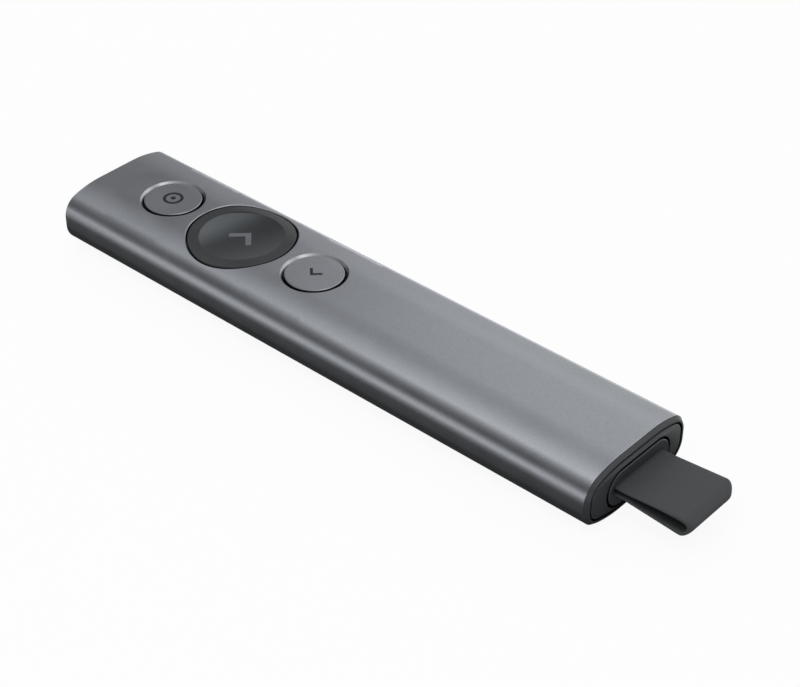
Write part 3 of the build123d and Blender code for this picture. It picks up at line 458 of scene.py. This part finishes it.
# Near-black put on groove walls and on walls in narrow gaps: painted shade where those gaps fall dark.
GAP_PAINTED_SHADE = finish("gap_painted_shade", (0.008, 0.008, 0.009), 0.8, specular=0.1, grain=0.2, wear=0.0)
DARK_PLASTIC = finish("dark_plastic", (0.036, 0.042, 0.046), 0.45, grain=0.2, depth=0.004, speckle=0.1)
SATIN_BLACK = finish("satin_black", (0.024, 0.028, 0.03), 0.32, grain=0.2, depth=0.002, speckle=0.06)
DISH_BLACK = finish("dish_black", (0.004, 0.005, 0.006), 0.16, grain=0.2, depth=0.0006, speckle=0.03,
                    specular=1.0, ior=1.72, tint=(0.86, 0.94, 1.0), rough_spread=0.02)
CHASSIS = finish("chassis_plastic", (0.03, 0.03, 0.032), 0.5, grain=0.3, depth=0.006, speckle=0.1)
SILICONE = finish("silicone", (0.045, 0.05, 0.052), 0.6, grain=0.2, depth=0.004, speckle=0.08, wear=0.1)
FOAM = finish("foam", (0.04, 0.04, 0.04), 0.95, grain=0.4, depth=0.15, speckle=0.4, specular=0.2)
STEEL = finish("steel", (0.62, 0.62, 0.62), 0.28, metallic=1.0, grain=0.2, depth=0.002,
               stretch=(1, 0.08, 1), wear=0.2)
GOLD = finish("contact_gold", (0.83, 0.66, 0.3), 0.22, metallic=1.0, grain=0.1, depth=0.001)
BOARD = finish("board", (0.02, 0.1, 0.05), 0.3, grain=0.5, depth=0.01, speckle=0.15, patch=2.0)
CHIP = finish("chip", (0.025, 0.025, 0.027), 0.55, grain=0.15, depth=0.004, speckle=0.15)
WHITE_PLASTIC = finish("white_plastic", (0.8, 0.8, 0.78), 0.4, grain=0.3, depth=0.003, speckle=0.02)
FROSTED = finish("frosted", (0.7, 0.74, 0.76), 0.5, grain=0.2, depth=0.004, speckle=0.03)
FOIL = finish("cell_foil", (0.45, 0.46, 0.48), 0.35, metallic=0.8, grain=0.8, depth=0.03, patch=4.0)
RED_LEAD = finish("lead_red", (0.5, 0.03, 0.03), 0.35, grain=0.2, depth=0.002)
DARK_PRINT = finish("dark_print", (0.012, 0.014, 0.016), 0.6, grain=0.15, depth=0.001, specular=0.3)
PALE_PRINT = finish("pale_print", (0.125, 0.135, 0.15), 0.5, grain=0.15, depth=0.001, specular=0.3)

dress(ALUMINIUM, "pointer_cap", "back_cap")
# the small caps below their showing edge get painted shade, as they sit down in the gap
dress_some(BORE_PAINTED_SHADE, under_a_cap, "pointer_cap", "back_cap")
dress(DARK_PLASTIC, "nose_cap", "tail_bezel", "receiver_cap", "receiver_housing")
# painted shade: the bezel's walls inside its groove, and the receiver cap's sides in their narrow gap, wear
# near-black
dress_some(GAP_PAINTED_SHADE, in_a_groove, "tail_bezel")
dress_some(GAP_PAINTED_SHADE, round_the_side, "receiver_cap")
dress(CHASSIS, "receiver_bay", "tray", "button_frame", "pointer_plunger", "next_plunger", "back_plunger")
dress(FOAM, "battery_foam", "battery_tape")
dress(STEEL, "tail_screws", "cartridge_screws", "bay_springs", "port_shell", "plug_shell", "strap_pin",
      "vibration_motor", "crystal")
dress(GOLD, "plug_contacts")
dress(BOARD, "main_board", "receiver_board")
dress(CHIP, "radio_chip", "motion_sensor", "charging_chip", "receiver_chip", "pointer_switch", "next_switch",
      "back_switch", "port_tongue", "board_passives")
dress(WHITE_PLASTIC, "plug_tongue", "battery_connector", "chip_antenna", "status_led")
dress(FROSTED, "light_pipe")
dress(FOIL, "battery_cell")
dress(RED_LEAD, "battery_leads")


# ---------------------------------------------------------------- mesh helpers
def section_point(turn, inset):
    """Point of the right shoulder or crown, inset from the surface, whose normal leans by turn."""
    if turn <= CROWN_TURN:
        centre, radius = (CROWN_FLAT / 2, HEIGHT - CROWN_RADIUS), CROWN_RADIUS
    else:
        centre, radius = (SHOULDER_X, MID_Z + SIDE_FLAT / 2), SHOULDER_RADIUS
    return centre[0] + (radius - inset) * sin(turn), centre[1] + (radius - inset) * cos(turn)


def crown_height(x, inset=0.0):
    """Height of the crown over the resting strip, x across from the middle."""
    run = max(abs(x) - CROWN_FLAT / 2, 0)
    if run <= (CROWN_RADIUS - inset) * sin(CROWN_TURN):
        return HEIGHT - CROWN_RADIUS + sqrt((CROWN_RADIUS - inset) ** 2 - run ** 2)
    return MID_Z + SIDE_FLAT / 2 + sqrt((SHOULDER_RADIUS - inset) ** 2 - (abs(x) - SHOULDER_X) ** 2)


TINY = 1e-6


def spaced(low, high, step):
    """Evenly spaced values from low to high, both included, no further apart than step."""
    count = max(ceil((high - low) / step - TINY), 1)
    return [low + (high - low) * i / count for i in range(count + 1)]


def bridge(bm, first, second, material=0, closed=True):
    """Quads between two rows of vertices."""
    count = len(first) if closed else len(first) - 1
    for i in range(count):
        j = (i + 1) % len(first)
        face = bm.faces.new((first[i], first[j], second[j], second[i]))
        face.material_index = material


def bridge_all(bm, rows, material=0, closed=True):
    for first, second in zip(rows, rows[1:]):
        bridge(bm, first, second, material, closed)


def section_normal(x, z):
    """Outward normal of the body's section at or under a point of its surface."""
    side, rise = abs(x), abs(z - MID_Z)
    if side <= CROWN_FLAT / 2:
        lean = Vector((0, 0, 1))
    elif rise <= SIDE_FLAT / 2:
        lean = Vector((1, 0, 0))
    else:
        lean = Vector((side - CROWN_FLAT / 2, 0, rise + CROWN_RADIUS - HEIGHT / 2)).normalized()
        if lean.x > sin(CROWN_TURN):
            lean = Vector((side - SHOULDER_X, 0, rise - SIDE_FLAT / 2)).normalized()
    return Vector((copysign(lean.x, x), 0, copysign(lean.z, z - MID_Z)))


SKIN_LIKENESS = 0.9         # faces that lean further than this from the section are bevels or bores


def smooth_skins(mesh):
    """Both skins of the tube get the exact normals of its section; bevels and bores keep their own."""
    normals = [Vector((0, 0, 0))] * len(mesh.loops)
    for face in mesh.polygons:
        for index in face.loop_indices:
            place = mesh.vertices[mesh.loops[index].vertex_index].co / MM
            exact = section_normal(place.x, place.z)
            likeness = exact.dot(face.normal)
            if abs(likeness) > SKIN_LIKENESS:
                normals[index] = exact * copysign(1, likeness)
    mesh.normals_split_custom_set(normals)


def new_piece(name, bm, materials, body, replaced=(), sharp=30):
    """Turns a mesh drawn in millimetres into a piece that rides on a CAD body."""
    bmesh.ops.recalc_face_normals(bm, faces=bm.faces)
    bmesh.ops.scale(bm, vec=(MM, MM, MM), verts=bm.verts)
    mesh = bpy.data.meshes.new(name)
    bm.to_mesh(mesh)
    bm.free()
    mesh.shade_smooth()
    mesh.set_sharp_from_angle(angle=radians(sharp))
    for material in materials:
        mesh.materials.append(material)
    piece = bpy.data.objects.new(name, mesh)
    bpy.context.scene.collection.objects.link(piece)
    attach(piece, body)
    if replaced:
        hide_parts(*replaced)
    return piece


# ---------------------------------------------------------------- tube
PATCH_TURN = radians(37.7)  # this line of the shoulder runs just outside the largest hole
SMALL_PATCH_HALF = 7.4
FINE_STEP = 1.1             # spacing of the mesh round the holes and across the crown
COARSE_STEP = 5
CROWN_STEP = radians(2)
SHOULDER_STEP = radians(4)
RING_SHARES = (0.3, 0.6, 0.85, 1.0)     # where the rings lie between a patch's border and its hole


def section_ring(inset):
    """The whole section moved inward by inset, clockwise from the middle of the top; and how many of
    its points lie between the middle and the patches' edge."""
    flats = spaced(0, CROWN_FLAT / 2, FINE_STEP)[:-1]
    turns = spaced(0, CROWN_TURN, CROWN_STEP)[:-1] + spaced(CROWN_TURN, PATCH_TURN, SHOULDER_STEP)[:-1]
    edge = len(flats + turns)
    turns += spaced(PATCH_TURN, pi / 2, SHOULDER_STEP)
    right = [(x, HEIGHT - inset) for x in flats] + [section_point(turn, inset) for turn in turns]
    lower = [(x, 2 * MID_Z - z) for x, z in reversed(right)]
    left = [(-x, z) for x, z in reversed(right + lower)]
    return right + lower[:-1] + left[:-1], edge


def patch_spans():
    """The stretch of tube round each hole that is meshed in rings."""
    edges = [BACK_Y - SMALL_PATCH_HALF, BACK_Y + SMALL_PATCH_HALF,
             POINTER_Y - SMALL_PATCH_HALF, POINTER_Y + SMALL_PATCH_HALF]
    return list(zip(edges, edges[1:], HOLES))


def skin_stations(spans, low_y, high_y):
    """Where the skin's rows lie along the body: coarse on the bare stretches, fine round the holes."""
    ys = spaced(low_y, spans[0][0], COARSE_STEP)
    for low, high, hole in spans:
        ys += spaced(low, high, FINE_STEP)[1:]
    return ys + spaced(spans[-1][1], high_y, COARSE_STEP)[1:]


def on_circle(vert, centre_y, radius):
    """The point of a hole's circle that lies the same way from its middle as the vertex."""
    angle = atan2(vert.co.y - centre_y, vert.co.x)
    return radius * cos(angle), centre_y + radius * sin(angle)


def lay_hole(bm, border, centre_y, radius, inset):
    """Rings from a patch's border in to a round hole; returns the ring on the hole's edge."""
    edge = [on_circle(vert, centre_y, radius) for vert in border]
    rows = [border]
    for share in RING_SHARES:
        row = []
        for vert, (x, y) in zip(border, edge):
            place = (vert.co.x + share * (x - vert.co.x), vert.co.y + share * (y - vert.co.y))
            row.append(bm.verts.new((*place, crown_height(place[0], inset))))
        rows.append(row)
    bridge_all(bm, rows)
    return rows[-1]


def lay_around(bm, ys, ring, inside, spans):
    """The skin's rows of vertices and their faces, left open over the top at the patches."""
    rows = []
    for y in ys:
        open_row = any(low + TINY < y < high - TINY for low, high, hole in spans)
        rows.append([None if open_row and i in inside else bm.verts.new((x, y, z))
                     for i, (x, z) in enumerate(ring)])
    for y, next_y, first, second in zip(ys, ys[1:], rows, rows[1:]):
        in_patch = any(low < (y + next_y) / 2 < high for low, high, hole in spans)
        for i in range(len(ring)):
            j = (i + 1) % len(ring)
            if not (in_patch and (i in inside or j in inside)):
                bm.faces.new((first[i], first[j], second[j], second[i]))
    return rows


def patch_border(rows, edge):
    """The vertices round a patch, once round, from the rows that it spans."""
    size = len(rows[0])
    across = [(size - edge + k) % size for k in range(2 * edge + 1)]
    border = [rows[0][i] for i in across]
    border += [row[edge] for row in rows[1:-1]]
    border += [rows[-1][i] for i in reversed(across)]
    border += [row[size - edge] for row in reversed(rows[1:-1])]
    return border


def lay_skin(bm, inset, low_y, high_y):
    """One skin of the tube: its rings at both ends, and the edge ring of each hole."""
    spans = patch_spans()
    ys = skin_stations(spans, low_y, high_y)
    ring, edge = section_ring(inset)
    inside = set(range(edge)) | set(range(len(ring) - edge + 1, len(ring)))
    rows = lay_around(bm, ys, ring, inside, spans)
    holes = []
    for low, high, (centre_y, radius, bevel) in spans:
        border = patch_border([row for y, row in zip(ys, rows) if low - TINY < y < high + TINY], edge)
        reach = radius if inset else radius + bevel
        holes.append(lay_hole(bm, border, centre_y, reach, inset))
    return rows[0], rows[-1], holes


def end_ring(bm, inset, y):
    return [bm.verts.new((x, y, z)) for x, z in section_ring(inset)[0]]


def make_sleeve():
    """The tube as two smooth skins, joined round its ends and through its three holes."""
    bm = bmesh.new()
    rebate_y = TUBE_TAIL_Y + REBATE_DEPTH
    outer_tail, outer_nose, outer_holes = lay_skin(bm, 0, TUBE_TAIL_Y + END_CHAMFER, NOSE_Y - END_CHAMFER)
    inner_tail, inner_nose, inner_holes = lay_skin(bm, WALL, rebate_y, NOSE_Y)
    bridge_all(bm, [outer_nose, end_ring(bm, END_CHAMFER, NOSE_Y), inner_nose])
    tail_edge = end_ring(bm, END_CHAMFER, TUBE_TAIL_Y)
    # the tail end's chamfer wears the brighter metal, a painted highlight
    bridge(bm, outer_tail, tail_edge, material=1)
    bridge_all(bm, [tail_edge, end_ring(bm, REBATE_INSET, TUBE_TAIL_Y),
                    end_ring(bm, REBATE_INSET, rebate_y), inner_tail])
    for outer, inner, (centre_y, radius, bevel) in zip(outer_holes, inner_holes, HOLES):
        foot = [on_circle(vert, centre_y, radius) for vert in outer]
        rim = [bm.verts.new((x, y, crown_height(x) - bevel)) for x, y in foot]
        # the wide chamfers of the small holes wear the brighter metal, a painted highlight; the large hole's
        # chamfer stays plain
        bridge(bm, outer, rim, material=1 if bevel == SMALL_HOLE_CHAMFER else 0)
        # the bores wear the near-black metal, painted shade down in the gaps
        bridge(bm, rim, inner, material=2)
    materials = [ALUMINIUM, CHAMFER_PAINTED_HIGHLIGHT, BORE_PAINTED_SHADE]
    tube = new_piece("tube", bm, materials, "remote", ["sleeve"])
    smooth_skins(tube.data)


make_sleeve()


# ---------------------------------------------------------------- large button
CAP_TURNS = 128
FACE_SINK = 0.05            # the caps' faces lie this far under the crown
FACE_CHAMFER = 0.12
FACE_TRIM = 0.12            # the soft edge of the large cap's face stands back this much
CAP_ROOF = 0.7
SKIRT_WALL = 1.0
STEM_RADIUS = 1.6
DISH_HOLLOW = 0.25
DISH_STEP = 0.02            # down from the rim to the dish's edge
DISH_CORE = 0.5             # radius of the innermost ring
DISH_SPACING = 0.6          # of the rings
FACE_SPACING = 0.5
UNDER_TUBE = WALL + 0.1


def cap_face(x, y):
    """A cap's face follows the crown, whatever y is."""
    return crown_height(x, FACE_SINK)


def bow_radius(rise):
    """Radius of the arc that rises this much over half the dish."""
    return (DISH_RADIUS ** 2 + rise ** 2) / (2 * rise)


def dish_height(x, y):
    """The thumb hollow: an arc along the body, swung across it about an axis above the cap."""
    top = crown_height(0, FACE_SINK)
    depth = top - crown_height(DISH_RADIUS, FACE_SINK) + DISH_HOLLOW
    low = top - depth - DISH_STEP
    along, across = bow_radius(depth), bow_radius(DISH_HOLLOW)
    rise = along - sqrt(along ** 2 - y ** 2)
    return low + across - sqrt((across - rise) ** 2 - x ** 2)


def cap_ring(bm, radius, height):
    """A ring of the cap; height is worked out from x and y off the button's middle."""
    ring = []
    for i in range(CAP_TURNS):
        x, y = radius * cos(2 * pi * i / CAP_TURNS), radius * sin(2 * pi * i / CAP_TURNS)
        ring.append(bm.verts.new((x, NEXT_Y + y, height(x, y))))
    return ring


def lay_dish(bm):
    """The thumb hollow in rings round its middle; returns its edge."""
    rings = [cap_ring(bm, radius, dish_height) for radius in spaced(DISH_CORE, DISH_RADIUS, DISH_SPACING)]
    middle = bm.verts.new((0, NEXT_Y, dish_height(0, 0)))
    for i in range(CAP_TURNS):
        bm.faces.new((middle, rings[0][i], rings[0][(i + 1) % CAP_TURNS])).material_index = 1
    bridge_all(bm, rings, material=1)
    return rings[-1]


def make_next_cap():
    """Dish, face ring, flange under the tube, hollow skirt and stem, all from rings."""
    bm = bmesh.new()
    stem_z = (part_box("next_cap")[0] / MM).z
    flange_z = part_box("pointer_cap")[0].z / MM      # all three flanges end at one level
    reach = NEXT_FACE_RADIUS + FLANGE_WIDTH
    edge = NEXT_FACE_RADIUS - FACE_TRIM

    def under(x, y):
        return crown_height(x, UNDER_TUBE)

    def roof(x, y):
        return under(x, y) - CAP_ROOF

    profile = [(radius, cap_face) for radius in spaced(DISH_RADIUS, edge - FACE_CHAMFER, FACE_SPACING)]
    profile += [
        (edge, lambda x, y: cap_face(x, y) - FACE_CHAMFER),
        (edge, under),
        (reach, under),
        (reach, lambda x, y: flange_z),
        (reach - SKIRT_WALL, lambda x, y: flange_z),
        (reach - SKIRT_WALL, roof),
        (STEM_RADIUS, roof),
        (STEM_RADIUS, lambda x, y: stem_z),
    ]
    outer = [lay_dish(bm)] + [cap_ring(bm, radius, height) for radius, height in profile]
    bridge_all(bm, outer)
    bm.faces.new(outer[-1])
    materials = [SATIN_BLACK, DISH_BLACK]
    new_piece("next_button_top", bm, materials, "next_button", ["next_cap"])


make_next_cap()


# ---------------------------------------------------------------- end plate
PLATE_LOW, PLATE_HIGH = [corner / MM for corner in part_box("tail_plate")]
PLATE_INSET = 1.38
PLATE_ROUND = 0.12
PLATE_EDGE_DEPTH = 0.5      # from the solid plate's face in to the dome's edge
PLATE_DOME = 0.32
PLATE_SPACING = 0.125       # of the dome's rings, as a share of its width
MOUTH_GAP = 0.5             # round the receiver


def mouth_ring():
    """The plate's opening round the receiver, with one point for each point of the section's ring."""
    radius = (RECEIVER_HIGH.z - RECEIVER_LOW.z) / 2 + MOUTH_GAP
    half = RECEIVER_HIGH.x + MOUTH_GAP - radius
    ring = []
    for x, z in section_ring(PLATE_INSET)[0]:
        middle = min(max(x, -half), half)
        out = Vector((x - middle, z - MID_Z)).normalized() * radius
        ring.append((middle + out.x, MID_Z + out.y))
    return ring


def make_end_plate():
    """A domed plate between the bezel and the receiver, open from front to back; its edge and mouth walls
    carry painted shade.
    """
    bm = bmesh.new()
    edge_y = PLATE_LOW.y + PLATE_EDGE_DEPTH
    edge = section_ring(PLATE_INSET)[0]
    inner = section_ring(PLATE_INSET + PLATE_ROUND)[0]
    mouth = mouth_ring()
    rows = [[(x, PLATE_HIGH.y, z) for x, z in edge], [(x, edge_y + PLATE_ROUND, z) for x, z in edge]]
    for share in spaced(0, 1, PLATE_SPACING):
        bulge = edge_y - PLATE_DOME * (1 - (1 - share) ** 2)
        rows.append([(x + share * (mouth_x - x), bulge, z + share * (mouth_z - z))
                     for (x, z), (mouth_x, mouth_z) in zip(inner, mouth)])
    rows.append([(x, PLATE_HIGH.y, z) for x, z in mouth])
    rings = [[bm.verts.new(place) for place in row] for row in rows]
    bridge_all(bm, rings[1:-1])
    # the plate's edge wall, hidden back and mouth wall wear near-black, painted shade in the gaps round the
    # bezel and the receiver
    bridge_all(bm, [rings[-2], rings[-1], rings[0], rings[1]], material=1)
    new_piece("end_plate", bm, [DARK_PLASTIC, GAP_PAINTED_SHADE], "remote", ["tail_plate"])


make_end_plate()


# ---------------------------------------------------------------- strap
STRAP_HALF_WIDTH = (STRAP_HIGH.x - STRAP_LOW.x) / 2
STRAP_WALL = 0.65
STRAP_END_WALL = 0.95       # it is thicker round the loop's end
STRAP_ROOT_HALF = 1.05      # half height of the closed root in its slot
STRAP_END_RADIUS = 1.97
STRAP_LEVEL = 2.0           # how far the legs run level before they part
STRAP_CORNER = 1.9
STRAP_EDGE = 0.32
STRAP_SHOULDER = 0.9        # how far in from its sides the band starts to round off
LEG_START = 0.2             # the legs start this far behind the pin's middle
LEG_SPACING = 0.5
SLOPE_SPACING = 0.08        # as a share of the slope from the level legs to the loop's end
END_SPACING = radians(9)
EYE_CLEARANCE = 0.35        # round the pin
EYE_TURN = radians(110)
EYE_SPACING = radians(12)
BAND_EDGE_SPACING = radians(18)
PIN_RADIUS = (PIN_HIGH.z - PIN_LOW.z) / 2
PIN_Y = (PIN_HIGH.y + PIN_LOW.y) / 2
MOUTH_Y = RECEIVER_LOW.y
STRAP_END_Y = STRAP_LOW.y


def arc(centre_y, radius, start, end, step):
    return [(centre_y + radius * cos(turn), radius * sin(turn)) for turn in spaced(start, end, step)]


def strap_line():
    """Outer line of the band, (y, z) about the slot's middle, once round from the pin; closed."""
    radius = STRAP_END_RADIUS
    half = STRAP_ROOT_HALF
    root_y = MOUTH_Y - STRAP_LEVEL
    centre_y = STRAP_END_Y + STRAP_END_RADIUS
    reach = hypot(root_y - centre_y, half)
    start = atan2(half, root_y - centre_y) + acos(radius / reach)
    tangent = (centre_y + radius * cos(start), radius * sin(start))
    upper = arc(PIN_Y, PIN_RADIUS + EYE_CLEARANCE + STRAP_WALL / 2, 0, EYE_TURN, EYE_SPACING)
    upper += [(y, half) for y in reversed(spaced(root_y, PIN_Y - LEG_START, LEG_SPACING))]
    for share in spaced(0, 1, SLOPE_SPACING)[1:-1]:
        upper.append((root_y + share * (tangent[0] - root_y), half + share * (tangent[1] - half)))
    upper += arc(centre_y, radius, start, pi, END_SPACING)
    return upper + [(y, -z) for y, z in reversed(upper[1:-1])]


def strap_half_width(y):
    """Half the band's width at y; it is rounded in plan at the loop's end."""
    setback = min(max(STRAP_CORNER - (y - STRAP_END_Y), 0), STRAP_CORNER)
    return STRAP_HALF_WIDTH - STRAP_CORNER + sqrt(STRAP_CORNER ** 2 - setback ** 2)


def strap_wall(y):
    """Thickness of the band, which grows over the last stretch before the loop's end."""
    share = min(max((STRAP_END_Y + 3 * STRAP_END_RADIUS - y) / (2 * STRAP_END_RADIUS), 0), 1)
    return STRAP_WALL + share * (STRAP_END_WALL - STRAP_WALL)


def band_section(wall):
    """The band's rounded section, once round: which side, how far in from it, and how far the place
    lies off the outer line."""
    places = []
    for side, face in ((1, 1), (-1, 1), (-1, -1), (1, -1)):
        turns = spaced(0, pi / 2, BAND_EDGE_SPACING)
        if side * face < 0:
            turns.reverse()
        for turn in turns:
            off = face * (wall / 2 - STRAP_EDGE * (1 - sin(turn))) - wall / 2
            places.append((side, STRAP_SHOULDER * (1 - cos(turn)), off))
    return places


def make_strap():
    """A flat band swept once round its outer line, with rounded edges and rounded plan corners."""
    bm = bmesh.new()
    line = strap_line()
    rows = []
    for i, (line_y, line_z) in enumerate(line):
        before, after = line[i - 1], line[(i + 1) % len(line)]
        run = Vector((after[0] - before[0], after[1] - before[1])).normalized()
        row = []
        for side, inset, off in band_section(strap_wall(line_y)):
            y = line_y + off * run.y
            x = side * (strap_half_width(y) - inset)
            row.append(bm.verts.new((x, y, MID_Z + line_z - off * run.x)))
        rows.append(row)
    bridge_all(bm, rows + rows[:1])
    new_piece("strap_band", bm, [SILICONE], "receiver", ["strap"], sharp=60)


make_strap()


# ---------------------------------------------------------------- printed marks on the buttons
PRINT_RISE = 0.015
PRINT_SINK = 0.03
RING_RADII = (1.44, 2.08)
RING_SPACING = 0.3
DOT_RADII = (0.2, 0.55)     # of the dot's flat middle and of its edge
POINTER_MARK_SHIFT = 0.15   # to the right and to the nose
MARK_TURNS = 72
ARM_SPACING = 0.1           # as shares of a chevron's arm and of its weight
WEIGHT_SPACING = 0.34


def lay_mark(bm, rows, height, closed, filled=False):
    """A thin print on a cap's face, from rows of places; closed rows are circles, filled or not."""
    layers = []
    for lift in (PRINT_RISE, -PRINT_SINK):
        layers.append([[bm.verts.new((x, y, height(x, y) + lift)) for x, y in row] for row in rows])
        bridge_all(bm, layers[-1], closed=closed)
        if filled:
            bm.faces.new(layers[-1][0])
    top, bottom = layers
    if not closed:
        bridge(bm, around(top), around(bottom))
        return
    bridge(bm, top[-1], bottom[-1])
    if not filled:
        bridge(bm, top[0], bottom[0])


def around(grid):
    """The border of a grid of vertices, once round."""
    right = [row[-1] for row in grid[1:-1]]
    left = [row[0] for row in grid[1:-1]]
    return grid[0] + right + grid[-1][::-1] + left[::-1]


def mark_circle(radius):
    turns = [2 * pi * i / MARK_TURNS for i in range(MARK_TURNS)]
    return [(POINTER_MARK_SHIFT + radius * cos(turn), POINTER_Y + POINTER_MARK_SHIFT + radius * sin(turn))
            for turn in turns]


def make_pointer_mark():
    """A ring with a dot in its middle."""
    bm = bmesh.new()
    ring = [mark_circle(radius) for radius in spaced(*RING_RADII, RING_SPACING)]
    lay_mark(bm, ring, cap_face, closed=True)
    dot = [mark_circle(radius) for radius in DOT_RADII]
    lay_mark(bm, dot, cap_face, closed=True, filled=True)
    new_piece("pointer_mark", bm, [DARK_PRINT], "pointer_button")


def make_chevron(name, body, height, material, tip_x, middle_y, arm, weight):
    """Two arms at 45 degrees that meet in a point at tip_x; the arms run back towards the middle."""
    back = -1 if tip_x > 0 else 1
    steps = spaced(0, 1, ARM_SPACING)
    rows = []
    for across in spaced(0, 1, WEIGHT_SPACING):
        tip = tip_x + back * across * weight * sqrt(2)
        end_x = tip_x + back * (arm + across * weight) * sqrt(0.5)
        rise = (arm - across * weight) * sqrt(0.5)
        half = [(tip + t * (end_x - tip), t * rise) for t in steps]
        rows.append([(x, middle_y - y) for x, y in reversed(half[1:])] + [(x, middle_y + y) for x, y in half])
    bm = bmesh.new()
    lay_mark(bm, rows, height, closed=False)
    new_piece(name, bm, [material], body)


def next_face(x, y):
    """The large cap's dish, from a place on the body."""
    return dish_height(x, y - NEXT_Y)


make_pointer_mark()
make_chevron("next_mark", "next_button", next_face, PALE_PRINT,
             tip_x=2.3, middle_y=NEXT_Y - 0.2, arm=4.3, weight=1.13)
make_chevron("back_mark", "back_button", cap_face, DARK_PRINT,
             tip_x=-1.08, middle_y=BACK_Y + 0.12, arm=2.35, weight=0.57)
